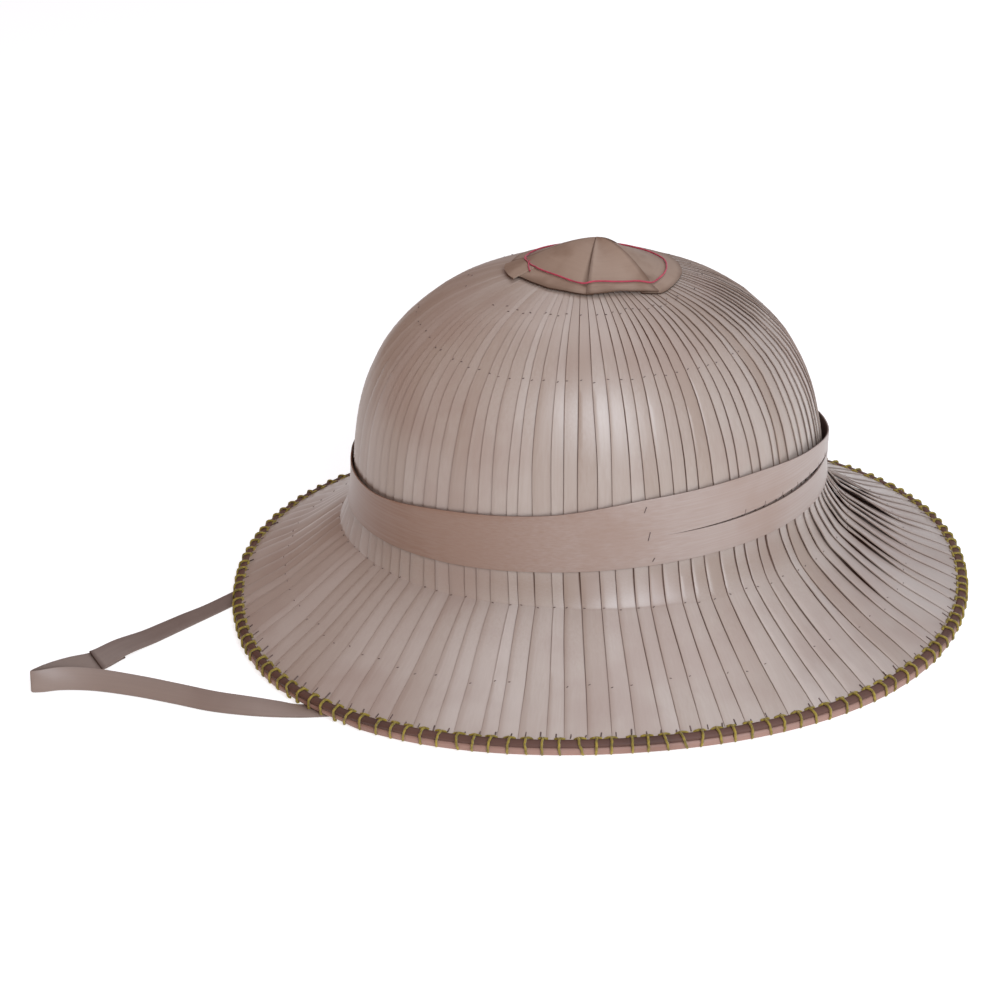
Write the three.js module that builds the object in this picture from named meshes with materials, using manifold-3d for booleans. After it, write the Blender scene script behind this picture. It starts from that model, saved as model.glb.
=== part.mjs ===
// Palm-leaf sun hat in the pith-helmet shape, in millimetres, standing on its rim with +Z up.
// +X runs along the hat's length and the origin is on the floor, under the middle of the rim.
import * as THREE from 'three';
import { mergeVertices } from 'three/addons/utils/BufferGeometryUtils.js';
import Module from 'manifold-3d';

const wasm = await Module();
wasm.setup();

// Driving dimensions
const RIM_LENGTH = 318.3;
const RIM_WIDTH = 290.6;
const PEAK_HEIGHT = 157;
const STRIP_COUNT = 98;
const WALL = 1.6;
const CLEARANCE = 0.3;

// Outside of the lapped leaf wall: height, half length and half width of each section
const PROFILE = [
  { z: 145.0, along: 20.0, across: 16.4 },
  { z: 141.0, along: 38.0, across: 31.2 },
  { z: 133.0, along: 58.0, across: 47.6 },
  { z: 121.0, along: 74.6, across: 61.2 },
  { z: 106.0, along: 86.8, across: 71.2 },
  { z: 86.0, along: 95.2, across: 78.2 },
  { z: 68.0, along: 98.6, across: 81.2 },
  { z: 48.0, along: 100.8, across: 84.2 },
  { z: 36.0, along: 107.0, across: 90.4 },
  { z: 26.0, along: 117.5, across: 102.0 },
  { z: 14.0, along: 135.5, across: 119.6 },
  { z: 5.6, along: 149.0, across: 133.9 },
  { z: 1.9, along: 154.9, across: 140.9 },
];
const CROWN_TOP = 146.5;
const CROWN_MIDDLE = new THREE.Vector2(-3.25, 5.1);
const CROWN_FOOT = 48;
const CREASE_HEIGHT = 36;
const INNER_COLUMNS = 48;

// The rim is a slightly square oval: how far its corners and its three lobes stand out
const RIM_SQUARE = 2.66;
const RIM_LOBES = { reach: 1.28, angle: 7.5 };
const RIM_COLUMNS = 104;

// Each strip lies with one edge on its neighbour, which makes a step; on one side of the brim they gape
const STRIP_STEP = 0.7;
const TOP_STEP = { step: 0.35, from: 133, to: 145 };
const RIM_STEP = { step: 0.35, from: 1.9, to: 14 };
const STEP_WIDTH = 0.16;
const FAN = 0.07;
const GAPE = { step: 1.5, angle: -15, spread: 55, low: 6, high: 36 };

// The hoop is hollowed underneath where the chin strap passes under it
const NOTCH_ANGLES = [-134.6, -175.2];
const NOTCH = { depth: 1.3, full: 5, end: 9, top: 2.1 };

// Rim hoop and the strip that covers the leaf ends: outward offset and height of each corner
const HOOP_WIDTH = 3.25;
const HOOP_SECTION = [
  { out: 0.5, z: 0 },
  { out: 2.6, z: 0 },
  { out: 3.25, z: 0.9 },
  { out: 2.9, z: 2.6 },
  { out: 1.2, z: 3.0 },
  { out: 0, z: 2.1 },
];
const BINDING_INSET = 6.4;
const BINDING_SECTION = [
  { out: 0, z: 4.2 },
  { out: 2.7, z: 2.65 },
  { out: 2.8, z: 3.6 },
  { out: 0.1, z: 5.1 },
];

// Hat band: lower edge, upper edge and how far the upper edge stands off, by angle round the crown
const BAND = [
  { angle: -180, low: 43.2, high: 62.0, flare: 0.2 },
  { angle: -155, low: 43.5, high: 62.0, flare: 0.5 },
  { angle: -125, low: 44.5, high: 66.4, flare: 0.1 },
  { angle: -100, low: 46.0, high: 69.4, flare: 0 },
  { angle: -75, low: 47.3, high: 74.7, flare: 0 },
  { angle: -50, low: 48.2, high: 76.0, flare: 0.3 },
  { angle: -25, low: 49.0, high: 73.6, flare: 1.8 },
  { angle: 5, low: 50.0, high: 69.5, flare: 2.6 },
  { angle: 60, low: 48.0, high: 68.0, flare: 0.4 },
  { angle: 120, low: 45.0, high: 65.0, flare: 0 },
];
const BAND_WALL = 0.9;
const SPLIT_STEPS = 10;
const SPLIT_REACH = 4;

// Split along the band's grain: height of its middle and its width
const SPLIT = [
  { angle: -70, middle: 59.0, width: 0.1 },
  { angle: -60, middle: 59.6, width: 0.6 },
  { angle: -45, middle: 60.6, width: 1.2 },
  { angle: -28, middle: 62.0, width: 2.2 },
  { angle: -12, middle: 62.6, width: 1.2 },
  { angle: 0, middle: 63.0, width: 0.1 },
];

// Folded leaf cap on top: each facet runs between two pleats and stands up at its pleated edges
const CAP_FACETS = [
  { from: -168, to: -97, startLift: 1.0, endLift: 0, startSkirt: 0.95, endSkirt: 0.99 },
  { from: -97, to: -38, startLift: 0.9, endLift: 2.2, startSkirt: 0.99, endSkirt: 1.07 },
  { from: -38, to: 60, startLift: 0, endLift: 0, startSkirt: 1.05, endSkirt: 1.0 },
  { from: 60, to: 192, startLift: 0.8, endLift: 0, startSkirt: 1.0, endSkirt: 1.0 },
];
const CAP_MIDDLE = new THREE.Vector2(1.75, 5.1);
const CAP_SKIRT = { along: 36.4, across: 30.4, gap: 0.5 };
const CAP_RING = { along: 29.5, across: 23.5, gap: 0.8 };
const CAP_WALL = 1.2;
const CAP_COLUMNS = 8;

// Chin strap: a leaf ribbon from the near side of the crown round to the far side
// rise is the height of its lower edge over the floor, lean 0 stands on edge and 90 lies flat
const STRAP_WIDTH = 9.5;
const STRAP_WALL = 0.8;
const STRAP_FLOOR_GAP = 0.15;
const STRAP_STEPS_PER_ROW = 2;
const STRAP_ROUTE = [
  { x: -6.7, y: -79.1, rise: 33.0, lean: 0 },
  { x: -22.6, y: -81.5, rise: 24.0, lean: 12 },
  { x: -45.6, y: -89.9, rise: 10.0, lean: 35 },
  { x: -70.7, y: -97.9, rise: 2.5, lean: 60 },
  { x: -90.7, y: -103.5, rise: 0.2, lean: 84 },
  { x: -104.7, y: -105.9, rise: 0, lean: 90 },
  { x: -114.7, y: -106.7, rise: 0, lean: 90 },
  { x: -122.7, y: -106.6, rise: 0, lean: 89 },
  { x: -130.7, y: -106.0, rise: 0, lean: 80 },
  { x: -143.5, y: -104.1, rise: 0, lean: 69 },
  { x: -157.1, y: -100.5, rise: 0, lean: 65 },
  { x: -171.5, y: -94.4, rise: 0, lean: 64 },
  { x: -190.3, y: -87.2, rise: 0, lean: 60 },
  { x: -209.1, y: -82.6, rise: 0, lean: 48 },
  { x: -221.7, y: -83.1, rise: 0, lean: 26 },
  { x: -229.2, y: -85.2, rise: 0, lean: 12 },
  { x: -232.7, y: -85.3, rise: 0, lean: 4 },
  { x: -228.7, y: -81.5, rise: 0, lean: -6 },
  { x: -219.7, y: -75.4, rise: 0, lean: -28 },
  { x: -209.8, y: -67.6, rise: 0, lean: -56 },
  { x: -201.8, y: -57.3, rise: 0, lean: -68 },
  { x: -188.7, y: -42.6, rise: 0, lean: -79 },
  { x: -176.0, y: -29.3, rise: 0, lean: -84 },
  { x: -167.2, y: -20.1, rise: 0, lean: -89 },
  { x: -159.7, y: -11.9, rise: 0, lean: -90 },
  { x: -150.7, y: -2.1, rise: 0, lean: -90 },
  { x: -142.7, y: 6.7, rise: 0, lean: -87 },
  { x: -131.7, y: 19.1, rise: 0.5, lean: -76 },
  { x: -112.7, y: 41.1, rise: 4.0, lean: -60 },
  { x: -86.7, y: 63.1, rise: 11.0, lean: -42 },
  { x: -58.6, y: 77.7, rise: 20.0, lean: -24 },
  { x: -30.6, y: 85.9, rise: 28.5, lean: -10 },
  { x: -6.7, y: 89.3, rise: 33.0, lean: 0 },
];
const LAP_ROWS = { seam: 19, tail: 20, settled: 21 };

// Finishes
const FINISHES = {
  leaf_shell: { color: 0xb5a397, roughness: 0.5 },
  top_cap: { color: 0xa28a7b, roughness: 0.6 },
  hat_band: { color: 0xb3a49c, roughness: 0.45 },
  rim_hoop: { color: 0xa58378, roughness: 0.55 },
  rim_binding: { color: 0x5e3f35, roughness: 0.65 },
  chin_strap_front: { color: 0x8a786e, roughness: 0.5 },
  chin_strap_back: { color: 0x86756b, roughness: 0.5 },
};

const UP = new THREE.Vector3(0, 0, 1);
const radians = THREE.MathUtils.degToRad;
const { lerp, clamp, smoothstep } = THREE.MathUtils;

// Smallest difference between two angles, in degrees
function turnBetween(a, b) {
  return Math.abs(THREE.MathUtils.euclideanModulo(a - b + 180, 360) - 180);
}

// Smooth hump: 1 at its middle and 0 beyond its spread
function hump(distance, spread) {
  return distance < spread ? 0.5 + 0.5 * Math.cos((Math.PI * distance) / spread) : 0;
}

// Value of a table's column at an angle, eased between its rows; a closed table wraps round
function atAngle(table, column, angle, closed) {
  const first = table[0].angle;
  const turned = closed ? first + THREE.MathUtils.euclideanModulo(angle - first, 360) : angle;
  const rows = closed ? [...table, { ...table[0], angle: first + 360 }] : table;
  const next = clamp(rows.findIndex((row) => row.angle > turned), 1, rows.length - 1);
  const [a, b] = [rows[next - 1], rows[next]];
  return lerp(a[column], b[column], smoothstep(turned, a.angle, b.angle));
}

// Closed solid through a row of point loops, ring-shaped or with an apex point over each end
function skin(loops, apexes) {
  const count = loops[0].length;
  const points = loops.flat();
  const triangles = [];
  const spans = apexes ? loops.length - 1 : loops.length;
  for (let i = 0; i < spans; i += 1) {
    const near = i * count;
    const far = ((i + 1) % loops.length) * count;
    for (let j = 0; j < count; j += 1) {
      const k = (j + 1) % count;
      triangles.push(near + j, far + j, far + k, near + j, far + k, near + k);
    }
  }
  if (apexes) {
    const last = (loops.length - 1) * count;
    points.push(...apexes);
    for (let j = 0; j < count; j += 1) {
      const k = (j + 1) % count;
      triangles.push(points.length - 2, j, k, points.length - 1, last + k, last + j);
    }
  }
  return outward(points, triangles);
}

// Geometry of a closed mesh, with its triangles turned so that they face out
function outward(points, triangles) {
  let volume = 0;
  for (let i = 0; i < triangles.length; i += 3) {
    const [a, b, c] = [0, 1, 2].map((corner) => points[triangles[i + corner]]);
    volume += a.dot(new THREE.Vector3().crossVectors(b, c));
  }
  const geometry = new THREE.BufferGeometry().setFromPoints(points);
  geometry.setIndex(volume < 0 ? [...triangles].reverse() : triangles);
  return geometry;
}

// Boolean cut of one closed geometry by another
function cut(body, tool) {
  const [a, b] = [body, tool].map((geometry) => {
    const merged = mergeVertices(geometry);
    return new wasm.Manifold(new wasm.Mesh({
      numProp: 3,
      vertProperties: new Float32Array(merged.attributes.position.array),
      triVerts: new Uint32Array(merged.index.array),
    }));
  });
  const mesh = a.subtract(b).getMesh();
  const result = new THREE.BufferGeometry();
  result.setAttribute('position', new THREE.BufferAttribute(mesh.vertProperties, 3));
  result.setIndex(new THREE.BufferAttribute(mesh.triVerts, 1));
  return result;
}

// How far the rim stands out of a plain oval at an angle, fading out up the brim
function rimReach(angle, z) {
  const turn = radians(angle);
  const lobes = RIM_LOBES.reach * Math.cos(3 * (turn - radians(RIM_LOBES.angle)));
  const reach = RIM_SQUARE * (1 - Math.cos(4 * turn)) + lobes;
  return reach * (1 - smoothstep(z, 0, CREASE_HEIGHT));
}

// Place of the wall's middle at a height: the lobed rim is centred on the origin and the crown is not
function middleAt(z) {
  const phase = 3 * radians(RIM_LOBES.angle);
  const rim = new THREE.Vector2(-Math.cos(phase), Math.sin(phase)).multiplyScalar(RIM_LOBES.reach);
  return rim.lerp(CROWN_MIDDLE, smoothstep(z, 0, CREASE_HEIGHT));
}

// Height of the step between neighbouring strips
function stripStep(angle, z) {
  const gape = GAPE.step * hump(turnBetween(angle, GAPE.angle), GAPE.spread);
  const gapeMiddle = (GAPE.low + GAPE.high) / 2;
  const gapeReach = (GAPE.high - GAPE.low) / 2;
  const belowCap = lerp(STRIP_STEP, TOP_STEP.step, smoothstep(z, TOP_STEP.from, TOP_STEP.to));
  const plain = lerp(RIM_STEP.step, belowCap, smoothstep(z, RIM_STEP.from, RIM_STEP.to));
  return plain + gape * hump(Math.abs(z - gapeMiddle), gapeReach);
}

// Point of the leaf wall at a profile row and angle, moved out along the wall's own normal
function wallPoint(index, angle, offset) {
  const row = PROFILE[index];
  const above = PROFILE[Math.max(index - 1, 0)];
  const below = PROFILE[Math.min(index + 1, PROFILE.length - 1)];
  const normal = new THREE.Vector2(above.z - below.z, below.along - above.along).normalize();
  const fan = FAN * Math.sin(2 * radians(angle)) * clamp(1 - row.z / CROWN_FOOT, 0, 1);
  const turn = radians(angle) + fan;
  const out = offset * normal.x + rimReach(angle, row.z);
  const middle = middleAt(row.z);
  return new THREE.Vector3(
    middle.x + (row.along + out) * Math.cos(turn),
    middle.y + (row.across + out) * Math.sin(turn),
    row.z + offset * normal.y,
  );
}

// Hollow crown and brim, stepped at the edge of every strip
function leafShell() {
  const pitch = 360 / STRIP_COUNT;
  const outer = PROFILE.map((row, index) => {
    const loop = [];
    for (let strip = 0; strip < STRIP_COUNT; strip += 1) {
      const edge = strip * pitch;
      loop.push(wallPoint(index, edge, 0));
      loop.push(wallPoint(index, edge + STEP_WIDTH * pitch, stripStep(edge, row.z)));
    }
    return loop;
  });
  const turns = Array.from({ length: INNER_COLUMNS }, (_, i) => (360 * i) / INNER_COLUMNS);
  const inner = PROFILE.map((row, index) => turns.map((angle) => wallPoint(index, angle, -WALL)));
  const top = new THREE.Vector3(CROWN_MIDDLE.x, CROWN_MIDDLE.y, CROWN_TOP);
  const foot = new THREE.Vector3(0, 0, PROFILE.at(-1).z);
  const innerTop = new THREE.Vector3(CROWN_MIDDLE.x, CROWN_MIDDLE.y, CROWN_TOP - WALL);
  const below = new THREE.Vector3(0, 0, -RIM_LENGTH / 8);
  return cut(skin(outer, [top, foot]), skin(inner, [innerTop, below]));
}

// How far the underside of the rim is raised over the strap
function notchRise(angle, z) {
  const away = Math.min(...NOTCH_ANGLES.map((notch) => turnBetween(angle, notch)));
  return NOTCH.depth * (1 - smoothstep(away, NOTCH.full, NOTCH.end)) * clamp(1 - z / NOTCH.top, 0, 1);
}

// Ring of constant section that follows the rim, from an inset inside its outer edge
function rimRing(inset, section) {
  const [along, across] = [RIM_LENGTH / 2 - inset, RIM_WIDTH / 2 - inset];
  const middle = middleAt(0);
  const loops = [];
  for (let i = 0; i < RIM_COLUMNS; i += 1) {
    const angle = (360 * i) / RIM_COLUMNS;
    const turn = radians(angle);
    const reach = rimReach(angle, 0);
    loops.push(section.map((corner) => new THREE.Vector3(
      middle.x + (along + reach + corner.out) * Math.cos(turn),
      middle.y + (across + reach + corner.out) * Math.sin(turn),
      corner.z + notchRise(angle, corner.z),
    )));
  }
  return skin(loops);
}

// Point on the crown under the band at a height and angle, moved straight out
function crownPoint(z, angle, offset) {
  const next = PROFILE.findIndex((row) => row.z < z);
  const [a, b] = [PROFILE[next - 1], PROFILE[next]];
  const share = (a.z - z) / (a.z - b.z);
  const turn = radians(angle);
  return new THREE.Vector3(
    CROWN_MIDDLE.x + (lerp(a.along, b.along, share) + offset) * Math.cos(turn),
    CROWN_MIDDLE.y + (lerp(a.across, b.across, share) + offset) * Math.sin(turn),
    z,
  );
}

// Band of leaf round the crown, split along its grain on one side
function hatBand() {
  const inside = STRIP_STEP + CLEARANCE;
  const outside = inside + BAND_WALL;
  const loops = [];
  for (let i = 0; i < RIM_COLUMNS; i += 1) {
    const angle = (360 * i) / RIM_COLUMNS - 180;
    const [low, high, flare] = ['low', 'high', 'flare'].map((name) => atAngle(BAND, name, angle, true));
    loops.push([
      crownPoint(low, angle, inside),
      crownPoint(low, angle, outside),
      crownPoint(high, angle, outside + flare),
      crownPoint(high, angle, inside + flare),
    ]);
  }
  const slots = [];
  for (let i = 0; i <= SPLIT_STEPS; i += 1) {
    const angle = lerp(SPLIT[0].angle, SPLIT.at(-1).angle, i / SPLIT_STEPS);
    const [middle, width] = ['middle', 'width'].map((name) => atAngle(SPLIT, name, angle, false));
    const [low, high] = [middle - width / 2, middle + width / 2];
    slots.push([
      crownPoint(low, angle, -SPLIT_REACH),
      crownPoint(low, angle, outside + SPLIT_REACH),
      crownPoint(high, angle, outside + SPLIT_REACH),
      crownPoint(high, angle, -SPLIT_REACH),
    ]);
  }
  return cut(skin(loops), skin(slots, [middleOf(slots[0]), middleOf(slots.at(-1))]));
}

// Middle of a loop of points
function middleOf(loop) {
  return loop.reduce((sum, point) => sum.add(point), new THREE.Vector3()).divideScalar(loop.length);
}

// Height of the crown's outside over a point outside its uppermost section
function crownHeight(x, y) {
  const [dx, dy] = [x - CROWN_MIDDLE.x, y - CROWN_MIDDLE.y];
  const size = (row) => 1 / Math.hypot(dx / row.along, dy / row.across);
  const next = PROFILE.findIndex((row) => size(row) > 1);
  const [a, b] = [PROFILE[next - 1], PROFILE[next]];
  return lerp(a.z, b.z, (1 - size(a)) / (size(b) - size(a)));
}

// Pleated leaf cap: peak, half-way line, sewn ring and skirt, outside and then inside
function topCap() {
  const columns = [];
  CAP_FACETS.forEach((facet) => {
    for (let i = 0; i < CAP_COLUMNS; i += 1) {
      const share = i / (CAP_COLUMNS - 1);
      const angle = lerp(facet.from + 1, facet.to - 1, share);
      const lift = facet.startLift * (1 - share) ** 3 + facet.endLift * share ** 3;
      columns.push({ turn: radians(angle), lift, skirt: lerp(facet.startSkirt, facet.endSkirt, share) });
    }
  });
  const onCrown = (column, line, size) => {
    const x = CAP_MIDDLE.x + line.along * size * Math.cos(column.turn);
    const y = CAP_MIDDLE.y + line.across * size * Math.sin(column.turn);
    return new THREE.Vector3(x, y, crownHeight(x, y) + TOP_STEP.step + line.gap + CAP_WALL);
  };
  const peak = new THREE.Vector3(CAP_MIDDLE.x, CAP_MIDDLE.y, PEAK_HEIGHT);
  const ring = columns.map((column) => onCrown(column, CAP_RING, 1));
  const skirt = columns.map((column) => onCrown(column, CAP_SKIRT, column.skirt));
  const halfway = ring.map((point) => point.clone().lerp(peak, 0.5));
  columns.forEach((column, i) => {
    halfway[i].z += column.lift;
    ring[i].z += column.lift / 3;
  });
  const outside = [halfway, ring, skirt];
  const drop = new THREE.Vector3(0, 0, -CAP_WALL);
  const inside = outside.map((loop) => loop.map((point) => point.clone().add(drop))).reverse();
  return skin([...outside, ...inside], [peak, peak.clone().add(drop)]);
}

// Ribbon of leaf along the strap's route between two of its rows, raised where it laps another
function strapRibbon(fromRow, toRow, raiseAt) {
  const last = STRAP_ROUTE.length - 1;
  const line = new THREE.CatmullRomCurve3(STRAP_ROUTE.map((row) => {
    const lean = radians(Math.abs(row.lean));
    const half = (STRAP_WIDTH * Math.cos(lean) + STRAP_WALL * Math.sin(lean)) / 2;
    return new THREE.Vector3(row.x, row.y, row.rise + half + STRAP_FLOOR_GAP);
  }));
  const leans = new THREE.CatmullRomCurve3(STRAP_ROUTE.map((row, i) => new THREE.Vector3(i, row.lean, 0)));
  const steps = (toRow - fromRow) * STRAP_STEPS_PER_ROW;
  const loops = [];
  for (let i = 0; i <= steps; i += 1) {
    const row = fromRow + i / STRAP_STEPS_PER_ROW;
    const along = line.getTangent(row / last);
    const right = new THREE.Vector3().crossVectors(along, UP).normalize();
    const lean = radians(leans.getPoint(row / last).y);
    const wide = UP.clone().multiplyScalar(Math.cos(lean)).addScaledVector(right, Math.sin(lean));
    const thick = new THREE.Vector3().crossVectors(along, wide).normalize();
    const rise = raiseAt(row) * Math.sign(thick.z);
    const centre = line.getPoint(row / last).addScaledVector(thick, rise);
    loops.push([[-1, -1], [1, -1], [1, 1], [-1, 1]].map(([across, through]) => centre.clone()
      .addScaledVector(wide, (across * STRAP_WIDTH) / 2)
      .addScaledVector(thick, (through * STRAP_WALL) / 2)));
  }
  return skin(loops, [middleOf(loops[0]), middleOf(loops.at(-1))]);
}

// Front length of the strap, round the fold to its sewn tail
function strapFront() {
  return strapRibbon(0, LAP_ROWS.tail, () => 0);
}

// Back length of the strap, which lies on the front length's tail at the seam
function strapBack() {
  const lap = STRAP_WALL + 2 * CLEARANCE;
  const raise = (row) => lap * (1 - smoothstep(row, LAP_ROWS.tail, LAP_ROWS.settled));
  return strapRibbon(LAP_ROWS.seam, STRAP_ROUTE.length - 1, raise);
}

const pieces = {
  leaf_shell: leafShell(),
  top_cap: topCap(),
  hat_band: hatBand(),
  rim_hoop: rimRing(HOOP_WIDTH, HOOP_SECTION),
  rim_binding: rimRing(BINDING_INSET, BINDING_SECTION),
  chin_strap_front: strapFront(),
  chin_strap_back: strapBack(),
};

const hat = new THREE.Group();
Object.entries(pieces).forEach(([name, geometry]) => {
  const material = new THREE.MeshStandardMaterial({ ...FINISHES[name], metalness: 0 });
  const mesh = new THREE.Mesh(geometry, material);
  mesh.name = name;
  hat.add(mesh);
});

export default hat;
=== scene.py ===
"""Looks of a palm-leaf sun hat in the pith-helmet shape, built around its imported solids.

Every leaf strip, the pleated cap, the band, the bamboo rim, its lashing and the chin strap are modelled in
millimetres in the frame of the solids (+Z up, the front towards -Y) and written in metres.
"""

import logging
import math
from dataclasses import dataclass, field
from enum import Enum
from typing import Any, Callable, Optional, Sequence, Union

import bmesh
import bpy
import numpy as np
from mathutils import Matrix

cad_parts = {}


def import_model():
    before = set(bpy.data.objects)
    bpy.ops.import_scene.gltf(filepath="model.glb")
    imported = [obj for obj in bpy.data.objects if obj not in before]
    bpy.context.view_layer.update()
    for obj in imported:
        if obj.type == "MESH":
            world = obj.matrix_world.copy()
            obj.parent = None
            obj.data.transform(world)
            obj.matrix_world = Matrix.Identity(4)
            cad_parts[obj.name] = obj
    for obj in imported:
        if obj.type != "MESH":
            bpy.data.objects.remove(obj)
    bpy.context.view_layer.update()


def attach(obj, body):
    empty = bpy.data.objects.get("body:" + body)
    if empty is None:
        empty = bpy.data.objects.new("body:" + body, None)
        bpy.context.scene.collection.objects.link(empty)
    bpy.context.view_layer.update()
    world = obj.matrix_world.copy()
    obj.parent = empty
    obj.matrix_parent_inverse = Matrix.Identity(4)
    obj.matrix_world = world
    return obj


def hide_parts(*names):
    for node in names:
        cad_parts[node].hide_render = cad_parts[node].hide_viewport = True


LOG = logging.getLogger("leaf_hat")
MM = 0.001
BODY = "root"

Array = np.ndarray
Number = Union[float, Array]


class LeafMap(Enum):
    """Names of the maps that a leaf piece carries for its finish."""

    UV = "leaf_uv"
    TONE = "leaf_tone"
    # Painted shade in gaps beside strip edges, in folds and on undersides, together with dark cut edges
    SHADE_AND_EDGE = "leaf_crevice"


class Slot(Enum):
    """Names of the material slots."""

    PALM = "palm_leaf"
    CAP = "cap_leaf"
    BAND = "band_leaf"
    BAMBOO = "split_bamboo"
    BINDING = "dark_binding"
    STRAP = "strap_leaf"
    GOLD = "gold_thread"
    RED = "red_thread"
    SEWING = "sewing_thread"


# Plain sums on angles and tables


def smooth_step(value: Number, low: float, high: float) -> Number:
    """Eased share of the way from low to high.

    Args:
        value: where to read it.
        low: where it leaves 0.
        high: where it reaches 1.

    Returns:
        A number from 0 to 1.
    """
    share = np.clip((np.asarray(value, float) - low) / (high - low), 0.0, 1.0)
    return share * share * (3.0 - 2.0 * share)


def hump(distance: Number, spread: float) -> Number:
    """Smooth hump: 1 at no distance and 0 beyond its spread."""
    near = np.minimum(np.abs(distance), spread)
    return 0.5 + 0.5 * np.cos(np.pi * near / spread)


def turn_between(a: Number, b: float) -> Number:
    """Signed difference of two angles, from -180 to 180 degrees."""
    return (np.asarray(a, float) - b + 180.0) % 360.0 - 180.0


@dataclass(frozen=True)
class EasedCurve:
    """Smooth curve through the rows of a table that never overshoots them."""

    xs: tuple[float, ...]
    ys: tuple[float, ...]

    def at(self, x: Number) -> Number:
        """Height of the curve at x, which is held inside the table."""
        xs, ys = np.asarray(self.xs), np.asarray(self.ys)
        steps = np.diff(xs)
        slopes = np.diff(ys) / steps
        product = slopes[:-1] * slopes[1:]
        total = slopes[:-1] + slopes[1:]
        inner = np.where(product > 0, 2 * product / np.where(total == 0, 1, total), 0.0)
        tangents = np.concatenate([slopes[:1], inner, slopes[-1:]])
        i = np.clip(np.searchsorted(xs, x, side="right") - 1, 0, len(xs) - 2)
        t = np.clip((x - xs[i]) / steps[i], 0.0, 1.0)
        rise = (t**3 - 2 * t**2 + t) * tangents[i] + (t**3 - t**2) * tangents[i + 1]
        return (2 * t**3 - 3 * t**2 + 1) * ys[i] + (3 * t**2 - 2 * t**3) * ys[i + 1] + steps[i] * rise


def round_curve(angles: Sequence[float], values: Sequence[float]) -> EasedCurve:
    """Eased curve by angle that closes on itself; read it with angles wrapped to -180..180."""
    order = sorted(zip(angles, values))
    xs = [order[-1][0] - 360.0] + [a for a, _ in order] + [order[0][0] + 360.0]
    ys = [order[-1][1]] + [v for _, v in order] + [order[0][1]]
    return EasedCurve(tuple(xs), tuple(ys))


def spline(points: Array, steps: int) -> Array:
    """Centripetal Catmull-Rom line through points.

    Args:
        points: one row for each point.
        steps: how many pieces each span is cut into.

    Returns:
        The points of the finer line, ends included.
    """
    ends = [2 * points[0] - points[1], *points, 2 * points[-1] - points[-2]]
    line = []
    for i in range(1, len(ends) - 2):
        p = ends[i - 1 : i + 3]
        gaps = [max(np.linalg.norm(p[k + 1] - p[k]), 1e-6) ** 0.5 for k in range(3)]
        knots = np.concatenate([[0.0], np.cumsum(gaps)])
        for t in np.linspace(knots[1], knots[2], steps, endpoint=False):
            a = [((knots[k + 1] - t) * p[k] + (t - knots[k]) * p[k + 1]) / gaps[k] for k in range(3)]
            b = [
                ((knots[k + 2] - t) * a[k] + (t - knots[k]) * a[k + 1]) / (knots[k + 2] - knots[k])
                for k in range(2)
            ]
            line.append(((knots[2] - t) * b[0] + (t - knots[1]) * b[1]) / gaps[1])
    line.append(points[-1])
    return np.array(line)


# Meshes


@dataclass
class LeafMesh:
    """Collects closed leaf sheets, with their maps, into one mesh."""

    vertices: list[Array] = field(default_factory=list)
    faces: list[tuple[int, ...]] = field(default_factory=list)
    uvs: list[Array] = field(default_factory=list)
    tones: list[Array] = field(default_factory=list)
    shades_and_edges: list[Array] = field(default_factory=list)
    count: int = 0

    def add_tube(self, rings: Array, uv: Array, tone: Number, shade_and_edge: Array, closed: bool = False) -> None:
        """Adds a solid that is skinned through equal rings of points.

        Args:
            rings: rings x points x 3, in millimetres.
            uv: rings x points x 2, across and along the grain in millimetres.
            tone: tint of the sheet from 0 to 1, one number or rings x points.
            shade_and_edge: rings x points, 1 where the leaf is darkened by painted shade or a dark cut edge.
            closed: whether the last ring joins the first; otherwise the ends are capped.
        """
        rows, size = rings.shape[:2]
        base = self.count
        for i in range(rows if closed else rows - 1):
            near, far = base + i * size, base + ((i + 1) % rows) * size
            for j in range(size):
                k = (j + 1) % size
                self.faces.append((near + j, near + k, far + k, far + j))
        if not closed:
            self.faces.append(tuple(base + j for j in reversed(range(size))))
            self.faces.append(tuple(base + (rows - 1) * size + j for j in range(size)))
        self.vertices.append(rings.reshape(-1, 3))
        self.uvs.append(uv.reshape(-1, 2))
        self.tones.append(np.broadcast_to(np.asarray(tone, float), (rows, size)).reshape(-1))
        self.shades_and_edges.append(np.broadcast_to(shade_and_edge, (rows, size)).reshape(-1))
        self.count += rows * size

    def build(self, name: str, material: bpy.types.Material, sharp: float = 32.0) -> bpy.types.Object:
        """Makes the object.

        Args:
            name: the piece's name.
            material: its finish.
            sharp: angle in degrees past which an edge is drawn sharp.

        Returns:
            The new object, at the origin.
        """
        mesh = bpy.data.meshes.new(name)
        mesh.from_pydata((np.concatenate(self.vertices) * MM).tolist(), [], self.faces)
        corners = np.empty(len(mesh.loops), np.int32)
        mesh.loops.foreach_get("vertex_index", corners)
        layer = mesh.uv_layers.new(name=LeafMap.UV.value)
        layer.data.foreach_set("uv", np.concatenate(self.uvs)[corners].astype(np.float32).reshape(-1))
        for key, values in ((LeafMap.TONE, self.tones), (LeafMap.SHADE_AND_EDGE, self.shades_and_edges)):
            attribute = mesh.attributes.new(key.value, "FLOAT", "POINT")
            attribute.data.foreach_set("value", np.concatenate(values).astype(np.float32))
        mesh.polygons.foreach_set("use_smooth", np.ones(len(mesh.polygons), bool))
        turn_outward(mesh)
        mesh.set_sharp_from_angle(angle=math.radians(sharp))
        mesh.materials.append(material)
        mesh.validate()
        return link_object(name, mesh)


def turn_outward(mesh: bpy.types.Mesh) -> None:
    """Turns the faces of closed shells so that they face out."""
    work = bmesh.new()
    work.from_mesh(mesh)
    bmesh.ops.recalc_face_normals(work, faces=work.faces)
    work.to_mesh(mesh)
    work.free()


def link_object(name: str, data: Any) -> bpy.types.Object:
    """Puts a new object into the scene."""
    made = bpy.data.objects.new(name, data)
    bpy.context.scene.collection.objects.link(made)
    return made


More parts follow.
